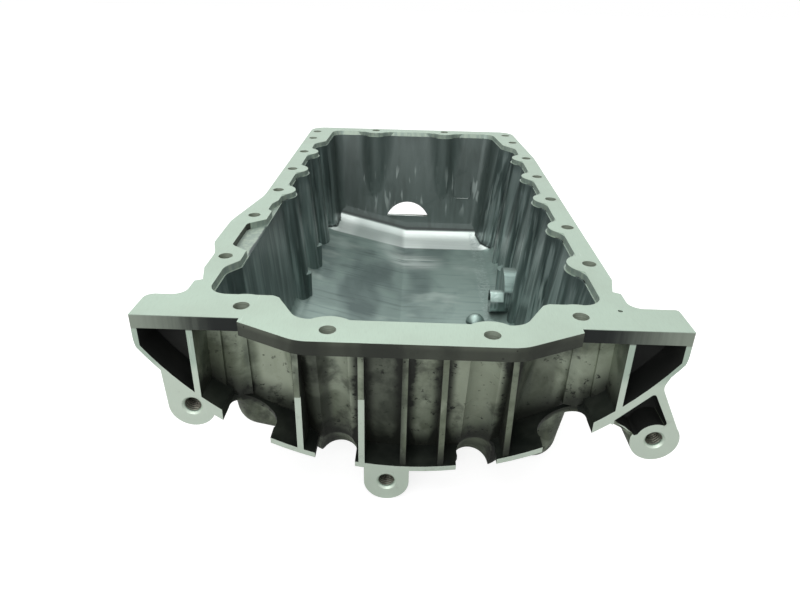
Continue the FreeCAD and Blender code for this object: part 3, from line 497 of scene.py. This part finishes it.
def makeOutside():
    t = ShaderTree("outsideCastSkin")
    x, y, z = t.axis("X"), t.axis("Y"), t.axis("Z")
    cloud = t.noise(**outsideSkin["cloud"])
    grain = t.noise(**outsideSkin["grain"]["noise"])
    bay = 1.0 - y.rise(*outsideSkin["bayY"])
    flanks = x.size().rise(*outsideSkin["flankX"]) * bay
    # cloudy lighter patches of uneven tone, made brighter on the flanks beside the ears as painted
    # highlight
    lit = cloud.band(*outsideSkin["lightBand"]) * (0.45 + flanks * 0.5)
    colour = t.blend(lit, outsideSkin["colour"], outsideSkin["light"])
    colour = t.coat(colour, outsideSkin["cool"])
    colour = t.coat(colour, outsideSkin["grain"])
    # painted highlight: paler stretches of the bays where the light falls
    paintedHighlight = stretches(x, outsideSkin["paintedHighlight"], outsideSkin["paleSoft"]) * bay
    paintedHighlight = paintedHighlight * z.rise(*outsideSkin["paleZ"]) * (0.4 + cloud * 0.6)
    colour = t.blend(paintedHighlight, colour, outsideSkin["paleColour"])
    # painted shade: darker stretches of the bays
    paintedShade = stretches(x, outsideSkin["paintedShade"], outsideSkin["darkSoft"]) * bay
    colour = t.blend(paintedShade, colour, outsideSkin["darkColour"])
    colour = t.coat(colour, outsideSkin["bright"], bay * (1.0 - paintedShade * 0.8))
    # grime and painted shade in the corners beside the ribs, under the flange and above the skirt
    seam = None
    for rib in outsideSkin["ribs"]:
        away = (x - rib * mm).size()
        clear = away.rise(*outsideSkin["ribSide"]) + (1.0 - away.rise(*outsideSkin["ribFace"]))
        seam = clear if seam is None else seam.atMost(clear)
    drift = (cloud - 0.5) * 0.5
    corner = ((1.0 - seam) + drift) * 0.9
    under = z.rise(*outsideSkin["underZ"]) * 0.55 + drift * 0.4
    height = z - crankHeight * mm
    fromCrank = (x * x + height * height).sum("SQRT")
    low = fromCrank.rise(*outsideSkin["skirtGrimeAndShade"]) * 0.95
    low = low * (1.0 - fromCrank.rise(*outsideSkin["skirtClear"]) * 0.8)
    # the flange's edge is dark all round, most of all near its top
    onEdge = z.rise(*outsideSkin["edgeZ"])
    edgeTop = (1.0 - z.rise(*outsideSkin["edgeTopZ"])) * 0.10
    edge = onEdge * (0.80 + edgeTop + drift * 0.3)
    values = {"Vector": t.place, "Scale": outsideSkin["pitScale"]}
    pits = t.node("ShaderNodeTexVoronoi", {"feature": "F1"}, values, out="Distance")
    pit = (1.0 - pits.band(*outsideSkin["pitSize"])) * t.mask(outsideSkin["pitPlace"])
    onWall = 1.0 - onEdge
    # grime, pits and painted shade in the corners together
    dirtAndShade = (corner + under + low) * bay * onWall + edge + pit * 0.8
    dirtAndShade = dirtAndShade.atMost(1.0).atLeast(0.0)
    dirtAndShade = (dirtAndShade + (t.mask(outsideSkin["blot"]) + t.mask(outsideSkin["fleck"])) * onWall).atMost(1.0)
    colour = t.blend(dirtAndShade, colour, outsideSkin["stain"])
    rough = outsideSkin["rough"] + grain * 0.14
    bumps = cloud * 0.5 + grain * 0.35 - pit * 0.9
    relief = t.bump(bumps, outsideSkin["bumpDepth"], outsideSkin["bumpStrength"])
    return t.finish(Base_Color=colour, Metallic=outsideSkin["metallic"], Roughness=rough,
                    Normal=relief)


# Finishes of one grain and one coat: the skirt and the pockets, both near-black as painted shade, the
# plug and the threads
plainFinishes = {
    # painted shade: the skirt's faces towards the crank are near-black
    "skirtShade": {
        "name": "skirtShadeSkin",
        "colour": (0.012, 0.016, 0.013),
        "coat": {
            "noise": {"scale": 46.0},
            "band": (0.4, 0.7), "share": 0.7, "colour": (0.048, 0.056, 0.046),
        },
        "grain": {"scale": 500.0, "detail": 4.0, "rough": 0.6},
        "metallic": 0.4, "rough": 0.42, "grainRough": 0.15,
        "bumpDepth": 0.2 * mm, "bumpStrength": 0.4,
    },
    # painted shade: the ears' pockets and the lug's window are near-black
    "pocketShade": {
        "name": "pocketShadeSkin",
        "colour": (0.006, 0.007, 0.006),
        "coat": {
            "noise": {"scale": 40.0},
            "band": (0.4, 0.7), "share": 0.6, "colour": (0.020, 0.022, 0.019),
        },
        "grain": {"scale": 500.0, "detail": 4.0, "rough": 0.6},
        "metallic": 0.2, "rough": 0.55, "grainRough": 0.15,
        "bumpDepth": 0.2 * mm, "bumpStrength": 0.4,
    },
    "steel": {
        "name": "plugSteel",
        "colour": (0.36, 0.35, 0.32),
        "coat": {
            "noise": {"scale": 400.0, "detail": 4.0, "rough": 0.6},
            "band": (0.45, 0.7), "share": 0.5, "colour": (0.22, 0.21, 0.19),
        },
        "grain": {"scale": 400.0, "detail": 4.0, "rough": 0.6},
        "relief": {"stretch": (1800.0, 60.0, 60.0)},
        "metallic": 1.0, "rough": 0.30, "grainRough": 0.16,
        "bumpDepth": 0.05 * mm, "bumpStrength": 0.4,
    },
    "thread": {
        "name": "cutThread",
        "colour": (0.16, 0.15, 0.125),
        "coat": {
            "noise": {"scale": 500.0},
            "band": (0.4, 0.7), "share": 0.5, "colour": (0.06, 0.055, 0.048),
        },
        "grain": {"scale": 500.0},
        "metallic": 0.9, "rough": 0.30, "grainRough": 0.1,
        "bumpDepth": 0.05 * mm, "bumpStrength": 0.3,
    },
}


def makePlain(plan):
    t = ShaderTree(plan["name"])
    grain = t.noise(**plan["grain"])
    colour = t.coat(plan["colour"], plan["coat"])
    height = t.noise(**plan["relief"]) if "relief" in plan else grain
    relief = t.bump(height, plan["bumpDepth"], plan["bumpStrength"])
    rough = plan["rough"] + grain * plan["grainRough"]
    return t.finish(Base_Color=colour, Metallic=plan["metallic"], Roughness=rough, Normal=relief)


finishes = {
    "machined": makeMachined(),
    "bore": makeBore(),
    "inside": makeInside(),
    "outside": makeOutside(),
}
for key, plan in plainFinishes.items():
    finishes[key] = makePlain(plan)
print("finishes made", len(finishes))


# The casting, with its limits between one skin and the next in millimetres
casting = {
    "skins": ["machined", "inside", "outside", "pocketShade", "bore", "skirtShade"],
    "bevel": 0.45,
    "bevelAngle": 40.0,
    "flangeDepth": 7.4,
    "rimBand": 4.05,
    "tubHalf": 104.0,
    "tubY": (9.0, 421.0),
    "bossBox": ((60.0, 84.0), (200.0, 256.0), (-105.0, -60.0)),
    "boreReach": 4.2,
    "bolts": [
        (-82.1, 20.6), (-37.5, 0), (37.5, 0), (82.1, 20.6), (97.2, 384.8), (93.7, 415.9),
        (-106.2, 80.5), (-106.2, 150.6), (-101.5, 381.1), (-101.5, 411.2), (-41.3, 424.2), (30.5, 424.2),
    ],
    "lugReach": 5.6,
    "lugDepthY": 32.0,
    "earRib": 106.0,
    "earY": 28.0,
    "earTopZ": -7.2,
    "deepEarY": 20.0,
    # distances from the crank's axis
    "skirtInner": 155.0,
    "skirtEdge": 158.0,
    "earPocketOuter": 159.4,
    "lugPocketInner": 163.0,
    "skirtOuter": 164.5,
    "skirtY": 35.6,
    "skirtTopZ": -8.0,
    "window": [(102.0, -51.6), (109.0, -56.4), (115.5, -62.0), (131.5, -52.6), (121.0, -33.6)],
    "windowX": (102.0, 131.0),
    "windowTopZ": -33.0,
    "windowReach": 32.0,
    "windowY": (9.2, 32.0),
    "windowSlack": -0.4,
    "lift": 0.25,  # how far above a face the look upwards starts
    "onFace": 0.05,
}
joining = {"mergeWithin": 0.004 * mm, "slimmest": 0.002 * mm, "sharpAngle": 38}


def mergedCopy(node, name):
    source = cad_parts[node]
    mesh = source.data.copy()
    mesh.name = name
    mesh.materials.clear()
    work = bmesh.new()
    work.from_mesh(mesh)
    bmesh.ops.remove_doubles(work, verts=work.verts, dist=joining["mergeWithin"])
    bmesh.ops.dissolve_degenerate(work, dist=joining["slimmest"], edges=work.edges)
    work.to_mesh(mesh)
    work.free()
    piece = bpy.data.objects.new(name, mesh)
    bpy.context.scene.collection.objects.link(piece)
    return piece


def soften(piece, width, angle):
    bevel = piece.modifiers.new("edges", "BEVEL")
    bevel.width = width
    bevel.segments = 2
    bevel.limit_method = "ANGLE"
    bevel.angle_limit = math.radians(angle)
    bevel.miter_outer = "MITER_ARC"
    keep = piece.modifiers.new("normals", "WEIGHTED_NORMAL")
    keep.keep_sharp = True
    keep.weight = 60


# The hollow flanks beside the screw columns, in millimetres
waves = {
    "rimDepth": 4.0,
    "rimStep": 0.6,
    "rimDrop": 0.3,
    "bevel": 1.1,
    "bevelAngle": 60,
    "embed": 2.0,
    "arcSteps": 6,
    "layers": 7,
    "columnRadius": 13.4,
    "columnGrowth": 0.085,
    "drainSide": (204.4, 1, 80.0),  # this column's flank on this side ends above the boss
    "right": {
        "line": 95.8, "row": 101.5, "draft": 0.125, "depth": 106.5, "round": 12.0,
        "bolts": [85.2 + 59.6 * step for step in range(5)],
    },
    "left": {
        "line": 95.8, "row": 101.5, "draft": 0.078, "depth": 86.5, "round": 12.0,
        "bolts": [207.6 + 59.2 * step for step in range(3)],
    },
    "far": {
        "line": 418.4, "row": 424.2, "draft": 0.195, "depth": 69.0, "round": 20.0,
        "bolts": [-41.3, 30.5],
    },
}
casting["bolts"] += [(waves["right"]["row"], bolt) for bolt in waves["right"]["bolts"]]
casting["bolts"] += [(-waves["left"]["row"], bolt) for bolt in waves["left"]["bolts"]]


def waveLoop(row, radius, line, sign):
    # a filler between a column and its wall, as (along, across) from the bolt
    away = row["row"] - line
    reach = away + row["round"]
    along = math.sqrt((radius + row["round"]) ** 2 - reach ** 2)
    inner = radius - waves["embed"]
    start = math.asin(along / (radius + row["round"]))
    back = away - waves["embed"]
    points = [(math.sqrt(inner ** 2 - back ** 2), line + waves["embed"])]
    points.append((inner * math.sin(start), row["row"] - inner * math.cos(start)))
    for step in range(waves["arcSteps"] + 1):
        angle = start * (1 - step / waves["arcSteps"])
        sink = row["round"] * (1 - math.cos(angle))
        points.append((along - row["round"] * math.sin(angle), line - sink))
    points.append((along, line + waves["embed"]))
    return [(a * sign, b) for a, b in points]


def wavePlaces(row, side, bolt, loop):
    # from along and across the row to the pan's own directions
    if side == "far":
        return [(bolt + along, across) for along, across in loop]
    flip = -1 if side == "left" else 1
    return [(across * flip, bolt + along) for along, across in loop]


def waveStacks(row, low):
    # rings as (depth, column radius, wall line): first the rim's step, then the wall
    top, step, layers = waves["rimDepth"], waves["rimStep"], waves["layers"]
    radius, growth = waves["columnRadius"], waves["columnGrowth"]
    depths = [top + (low - top) * k / layers for k in range(layers + 1)]
    rim = [(d, radius - step, row["line"] + step) for d in (waves["rimDrop"], top)]
    wall = [(d, radius + growth * d, row["line"] - row["draft"] * d) for d in depths]
    return rim, wall


def addWave(work, skin, rings):
    faces = [work.faces.new(rings[0]), work.faces.new(rings[-1])]
    for above, below in zip(rings, rings[1:]):
        for k in range(len(above)):
            n = (k + 1) % len(above)
            faces.append(work.faces.new((above[k], above[n], below[n], below[k])))
    for face in faces:
        face.material_index = skin
        face.smooth = True


def makeWaves():
    work = bmesh.new()
    for side in ("right", "left", "far"):
        row = waves[side]
        for bolt in row["bolts"]:
            for sign in (-1, 1):
                short = (bolt, sign) == waves["drainSide"][:2]
                low = waves["drainSide"][2] if short else row["depth"]
                for skin, stack in enumerate(waveStacks(row, low)):
                    rings = []
                    for depth, radius, line in stack:
                        places = wavePlaces(row, side, bolt, waveLoop(row, radius, line, sign))
                        corners = [(px * mm, py * mm, -depth * mm) for px, py in places]
                        rings.append([work.verts.new(corner) for corner in corners])
                    addWave(work, skin, rings)
    bmesh.ops.recalc_face_normals(work, faces=work.faces)
    mesh = bpy.data.meshes.new("columnWaves")
    work.to_mesh(mesh)
    work.free()
    mesh.materials.append(finishes["machined"])
    mesh.materials.append(finishes["inside"])
    mesh.set_sharp_from_angle(angle=math.radians(joining["sharpAngle"]))
    piece = bpy.data.objects.new("columnWaves", mesh)
    bpy.context.scene.collection.objects.link(piece)
    soften(piece, waves["bevel"] * mm, waves["bevelAngle"])
    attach(piece, "root")
    print("waves beside the columns", len(mesh.polygons))


def nearBolt(x, y):
    return any(math.hypot(x - bx, y - by) < casting["boreReach"] for bx, by in casting["bolts"])


def inBox(point, box):
    return all(low < value < high for value, (low, high) in zip(point, box))


def inWindow(x, z):
    # left of every side of the right lug's window, within the slack
    corners = casting["window"]
    sides = zip(corners, corners[1:] + corners[:1])
    return all((bx - ax) * (z - az) - (bz - az) * (x - ax) > casting["windowSlack"]
               for (ax, az), (bx, bz) in sides)


def inLugPocket(x, y, z, outer):
    lugX, lugZ = lugHoles[-1]
    (left, right), (near, far) = casting["windowX"], casting["windowY"]
    beside = left < x < right and z < casting["windowTopZ"] and near < y < far
    close = math.hypot(x - lugX, z - lugZ) < casting["windowReach"]
    return beside and close and outer > casting["lugPocketInner"] and inWindow(x, z)


def inEarPocket(y, normal, outer):
    return outer < casting["earPocketOuter"] and (normal.y > -0.9 or y > casting["deepEarY"])


def skinOf(face, tree):
    # which skin a face of the casting has, from its centre in millimetres and its normal
    centre, normal = face.calc_center_median(), face.normal
    x, y, z = centre / mm
    if z > -casting["onFace"] and normal.z > 0.9:
        return "machined"
    if abs(y - gearFace) < casting["onFace"] and normal.y < -0.95:
        return "machined"
    if abs(normal.z) < 0.3 and z > -casting["flangeDepth"] and nearBolt(x, y):
        return "bore"
    if abs(x) < casting["tubHalf"] and casting["tubY"][0] < y < casting["tubY"][1]:
        start = centre + normal * casting["lift"] * mm
        openAbove = tree.ray_cast(start, Vector((0, 0, 1)))[0] is None
        if openAbove or inBox((x, y, z), casting["bossBox"]):
            return "machined" if z > -casting["rimBand"] else "inside"
    for lugX, lugZ in lugHoles:
        if math.hypot(x - lugX, z - lugZ) < casting["lugReach"] and y < casting["lugDepthY"]:
            return "machined"
    outer = math.hypot(x, z - crankHeight)
    # faces in the ears' pockets and the lug's window get near-black painted shade
    if abs(x) > casting["earRib"] and gearFace < y < casting["earY"] and z < casting["earTopZ"]:
        if inEarPocket(y, normal, outer) or inLugPocket(x, y, z, outer):
            return "pocketShade"
    toCrank = (normal.x * -x + normal.z * (crankHeight - z)) / outer
    # the skirt's faces get near-black painted shade
    onSkirt = gearFace + 0.1 < y < casting["skirtY"] and z < casting["skirtTopZ"]
    if onSkirt and casting["skirtInner"] < outer < casting["skirtOuter"]:
        if toCrank > 0.8 or abs(normal.y) < 0.6 and outer > casting["skirtEdge"]:
            return "skirtShade"
    return "outside"


def paintCasting(piece):
    mesh = piece.data
    for name in casting["skins"]:
        mesh.materials.append(finishes[name])
    work = bmesh.new()
    work.from_mesh(mesh)
    tree = BVHTree.FromBMesh(work)
    counts = {}
    for face in work.faces:
        skin = skinOf(face, tree)
        counts[skin] = counts.get(skin, 0) + 1
        face.material_index = casting["skins"].index(skin)
        face.smooth = True
    work.to_mesh(mesh)
    work.free()
    print("casting skins", counts)


pan = mergedCopy("pan_casting", "panCasting")
paintCasting(pan)
pan.data.set_sharp_from_angle(angle=math.radians(joining["sharpAngle"]))
soften(pan, casting["bevel"] * mm, casting["bevelAngle"])
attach(pan, "root")
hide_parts("pan_casting")
print("casting dressed", len(pan.data.polygons))
makeWaves()


# The thin raised outline on the far wall, in millimetres
pad = {
    "path": [(43.0, -44.0), (43.0, -63.5), (45.5, -66.0), (58.5, -66.0), (61.0, -63.5), (61.0, -48.0)],
    "thickness": 0.55,
    "roundness": 2,
}


def makePad():
    wire = bpy.data.curves.new("farPad", "CURVE")
    wire.dimensions = "3D"
    wire.bevel_depth = pad["thickness"] * mm
    wire.bevel_resolution = pad["roundness"]
    wire.use_fill_caps = True
    line = wire.splines.new("POLY")
    line.points.add(len(pad["path"]) - 1)
    for point, (x, z) in zip(line.points, pad["path"]):
        y = waves["far"]["line"] + waves["far"]["draft"] * z
        point.co = (x * mm, y * mm, z * mm, 1.0)
    holder = bpy.data.objects.new("farPadLine", wire)
    bpy.context.scene.collection.objects.link(holder)
    graph = bpy.context.evaluated_depsgraph_get()
    mesh = bpy.data.meshes.new_from_object(holder.evaluated_get(graph))
    bpy.data.objects.remove(holder)
    mesh.materials.clear()
    mesh.materials.append(finishes["inside"])
    piece = bpy.data.objects.new("farPad", mesh)
    bpy.context.scene.collection.objects.link(piece)
    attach(piece, "root")
    print("pad on the far wall", len(mesh.polygons))


makePad()


# The drain plug and its ring, with node, name, slot, finish and bevel in millimetres
plug = {
    "pieces": (
        ("drain_plug", "drainPlug", "plug_steel", "steel", 0.5),
        ("drain_plug_seal", "plugRing", "seal_aluminium", "machined", 0.2),
    ),
    "sharpAngle": 30,
}


def dressPlug():
    for node, name, slot, finish, bevel in plug["pieces"]:
        piece = mergedCopy(node, name)
        piece.data.materials.append(finishes[finish])
        for face in piece.data.polygons:
            face.use_smooth = True
        piece.data.set_sharp_from_angle(angle=math.radians(plug["sharpAngle"]))
        soften(piece, bevel * mm, plug["sharpAngle"])
        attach(piece, "root")
        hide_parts(node)
    print("plug dressed")


dressPlug()


# The threads of the lugs, in millimetres
thread = {
    "radius": 4.32,
    "tooth": 0.55,
    "pitch": 1.5,
    "turns": 12.0,
    "start": 1.5,
    "coilSteps": 20,
    "toothSides": 4,
}


def threadTree():
    tree = bpy.data.node_groups.new("cutThreadCoil", "GeometryNodeTree")
    face = tree.interface
    face.new_socket("Geometry", in_out="INPUT", socket_type="NodeSocketGeometry")
    for name in ("Radius", "Tooth", "Pitch", "Turns"):
        face.new_socket(name, in_out="INPUT", socket_type="NodeSocketFloat")
    face.new_socket("Finish", in_out="INPUT", socket_type="NodeSocketMaterial")
    face.new_socket("Geometry", in_out="OUTPUT", socket_type="NodeSocketGeometry")
    add, link = tree.nodes.new, tree.links.new
    given, result = add("NodeGroupInput"), add("NodeGroupOutput")
    coil = add("GeometryNodeCurveSpiral")
    coil.inputs["Resolution"].default_value = thread["coilSteps"]
    link(given.outputs["Turns"], coil.inputs["Rotations"])
    link(given.outputs["Radius"], coil.inputs["Start Radius"])
    link(given.outputs["Radius"], coil.inputs["End Radius"])
    height = add("ShaderNodeMath")
    height.operation = "MULTIPLY"
    link(given.outputs["Turns"], height.inputs[0])
    link(given.outputs["Pitch"], height.inputs[1])
    link(height.outputs[0], coil.inputs["Height"])
    tooth = add("GeometryNodeCurvePrimitiveCircle")
    tooth.inputs["Resolution"].default_value = thread["toothSides"]
    link(given.outputs["Tooth"], tooth.inputs["Radius"])
    sweep = add("GeometryNodeCurveToMesh")
    sweep.inputs["Fill Caps"].default_value = True
    link(coil.outputs["Curve"], sweep.inputs["Curve"])
    link(tooth.outputs["Curve"], sweep.inputs["Profile Curve"])
    turn = add("GeometryNodeTransform")
    turn.inputs["Rotation"].default_value = (math.radians(-90), 0, 0)
    link(sweep.outputs["Mesh"], turn.inputs["Geometry"])
    spread = add("GeometryNodeInstanceOnPoints")
    link(given.outputs["Geometry"], spread.inputs["Points"])
    link(turn.outputs["Geometry"], spread.inputs["Instance"])
    real = add("GeometryNodeRealizeInstances")
    paint = add("GeometryNodeSetMaterial")
    link(spread.outputs["Instances"], real.inputs["Geometry"])
    link(real.outputs["Geometry"], paint.inputs["Geometry"])
    link(given.outputs["Finish"], paint.inputs["Material"])
    link(paint.outputs["Geometry"], result.inputs["Geometry"])
    return tree


def grown(name, tree, points, values):
    # runs a tree on loose points and keeps its result as a plain mesh
    seedMesh = bpy.data.meshes.new(name + "Points")
    seedMesh.from_pydata([Vector(p) for p in points], [], [])
    holder = bpy.data.objects.new(name, seedMesh)
    bpy.context.scene.collection.objects.link(holder)
    run = holder.modifiers.new("grow", "NODES")
    run.node_group = tree
    inputs = [item for item in tree.interface.items_tree if item.in_out == "INPUT"]
    identifiers = {item.name: item.identifier for item in inputs}
    for key, value in values.items():
        run[identifiers[key]] = value
    graph = bpy.context.evaluated_depsgraph_get()
    mesh = bpy.data.meshes.new_from_object(holder.evaluated_get(graph))
    holder.modifiers.remove(run)
    holder.data = mesh
    bpy.data.meshes.remove(seedMesh)
    return holder


def cutThreads():
    mouthY = gearFace + thread["start"]
    mouths = [(x * mm, mouthY * mm, z * mm) for x, z in lugHoles]
    values = {
        "Radius": thread["radius"] * mm,
        "Tooth": thread["tooth"] * mm,
        "Pitch": thread["pitch"] * mm,
        "Turns": thread["turns"],
        "Finish": finishes["thread"],
    }
    piece = grown("lugThreads", threadTree(), mouths, values)
    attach(piece, "root")
    print("threads cut", len(piece.data.polygons))


cutThreads()


# Floor, background and lamps, in metres and watts
studio = {
    "floorColour": (0.60, 0.60, 0.60),
    "floorRough": 0.9,
    "floorShine": 0.1,
    "floorReach": 6.0,
    "floorGlow": 2.75,
    "floorGlowShare": 0.30,
    "worldColour": (1.0, 1.0, 1.0),
    "worldLevel": 0.40,  # what the world sheds on the object
    "worldShown": 1.0,  # what the camera and mirror images see of it
    "lamps": {
        "key": {
            "power": 12.5, "width": 2.0, "depth": 1.4,
            "place": (-0.22, 0.15, 1.2), "aim": (0.0, 0.12, 0.0),
        },
        "fill": {
            "power": 15.5, "width": 1.4, "depth": 0.8,
            "place": (-0.5, -1.5, 0.75), "aim": (0.0, 0.1, -0.05),
        },
        "back": {
            "power": 1.6, "width": 0.7, "depth": 0.3,
            "place": (0.0, 0.80, 1.15), "aim": (0.0, 0.40, -0.09),
        },
    },
}


def makeFloor():
    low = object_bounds()[0].z
    reach = studio["floorReach"]
    corners = [(-reach, -reach, low), (reach, -reach, low), (reach, reach, low), (-reach, reach, low)]
    mesh = bpy.data.meshes.new("studioFloor")
    mesh.from_pydata(corners, [], [(0, 1, 2, 3)])
    floor = bpy.data.objects.new("studioFloor", mesh)
    bpy.context.scene.collection.objects.link(floor)
    material = bpy.data.materials.new("paleFloor")
    material.use_nodes = True
    nodes, links = material.node_tree.nodes, material.node_tree.links
    base = nodes["Principled BSDF"]
    base.inputs["Base Color"].default_value = (*studio["floorColour"], 1.0)
    base.inputs["Roughness"].default_value = studio["floorRough"]
    base.inputs["Specular IOR Level"].default_value = studio["floorShine"]
    glow = nodes.new("ShaderNodeEmission")
    glow.inputs["Strength"].default_value = studio["floorGlow"]
    rays = nodes.new("ShaderNodeLightPath")
    seen = nodes.new("ShaderNodeMath")
    seen.operation = "MULTIPLY"
    seen.inputs[1].default_value = studio["floorGlowShare"]
    mixer = nodes.new("ShaderNodeMixShader")
    links.new(rays.outputs["Is Camera Ray"], seen.inputs[0])
    links.new(seen.outputs[0], mixer.inputs[0])
    links.new(base.outputs[0], mixer.inputs[1])
    links.new(glow.outputs[0], mixer.inputs[2])
    links.new(mixer.outputs[0], nodes["Material Output"].inputs["Surface"])
    floor.data.materials.append(material)


def softbox(name, plan):
    light = bpy.data.lights.new(name, "AREA")
    light.shape = "RECTANGLE"
    light.energy = plan["power"]
    light.size = plan["width"]
    light.size_y = plan["depth"]
    lamp = bpy.data.objects.new(name, light)
    place = Vector(plan["place"])
    lamp.location = place
    lamp.rotation_euler = (Vector(plan["aim"]) - place).to_track_quat("-Z", "Y").to_euler()
    bpy.context.scene.collection.objects.link(lamp)


def makeWorld():
    world = bpy.data.worlds.new("studioWorld")
    bpy.context.scene.world = world
    world.use_nodes = True
    nodes, links = world.node_tree.nodes, world.node_tree.links
    back = nodes["Background"]
    rays = nodes.new("ShaderNodeLightPath")
    level = nodes.new("ShaderNodeMapRange")
    level.inputs["To Min"].default_value = studio["worldLevel"]
    level.inputs["To Max"].default_value = studio["worldShown"]
    shown = rays.outputs["Is Camera Ray"]
    for kind in ("Is Glossy Ray", "Is Transmission Ray"):
        add = nodes.new("ShaderNodeMath")
        links.new(shown, add.inputs[0])
        links.new(rays.outputs[kind], add.inputs[1])
        shown = add.outputs[0]
    links.new(shown, level.inputs["Value"])
    links.new(level.outputs["Result"], back.inputs["Strength"])
    back.inputs["Color"].default_value = (*studio["worldColour"], 1.0)


# The camera, its place in millimetres and its angles in degrees
view = {
    "lens": 28.27,
    "sensor": 36.0,
    "place": (-0.8, -247.3, 142.6),
    "pitch": 27.04,
    "yaw": -0.94,
    "roll": 1.41,
}


def makeCamera():
    camera = bpy.data.cameras.new("camera")
    camera.lens = view["lens"]
    camera.sensor_width = view["sensor"]
    camera.clip_start = 10 * mm
    body = bpy.data.objects.new("camera", camera)
    bpy.context.scene.collection.objects.link(body)
    level = Matrix(((1, 0, 0), (0, 0, -1), (0, 1, 0)))
    yaw = Matrix.Rotation(math.radians(view["yaw"]), 3, "Z")
    pitch = Matrix.Rotation(math.radians(view["pitch"]), 3, "X")
    roll = Matrix.Rotation(math.radians(view["roll"]), 3, "Z")
    seen = roll @ pitch @ level @ yaw  # rows: right, down, ahead
    turn = Matrix((seen[0], -seen[1], -seen[2])).transposed()
    body.matrix_world = Matrix.Translation(Vector(view["place"]) * mm) @ turn.to_4x4()
    bpy.context.scene.camera = body


makeFloor()
makeWorld()
for name, plan in studio["lamps"].items():
    softbox(name, plan)
makeCamera()
bpy.context.scene.view_settings.view_transform = "Standard"
print("scene ready")
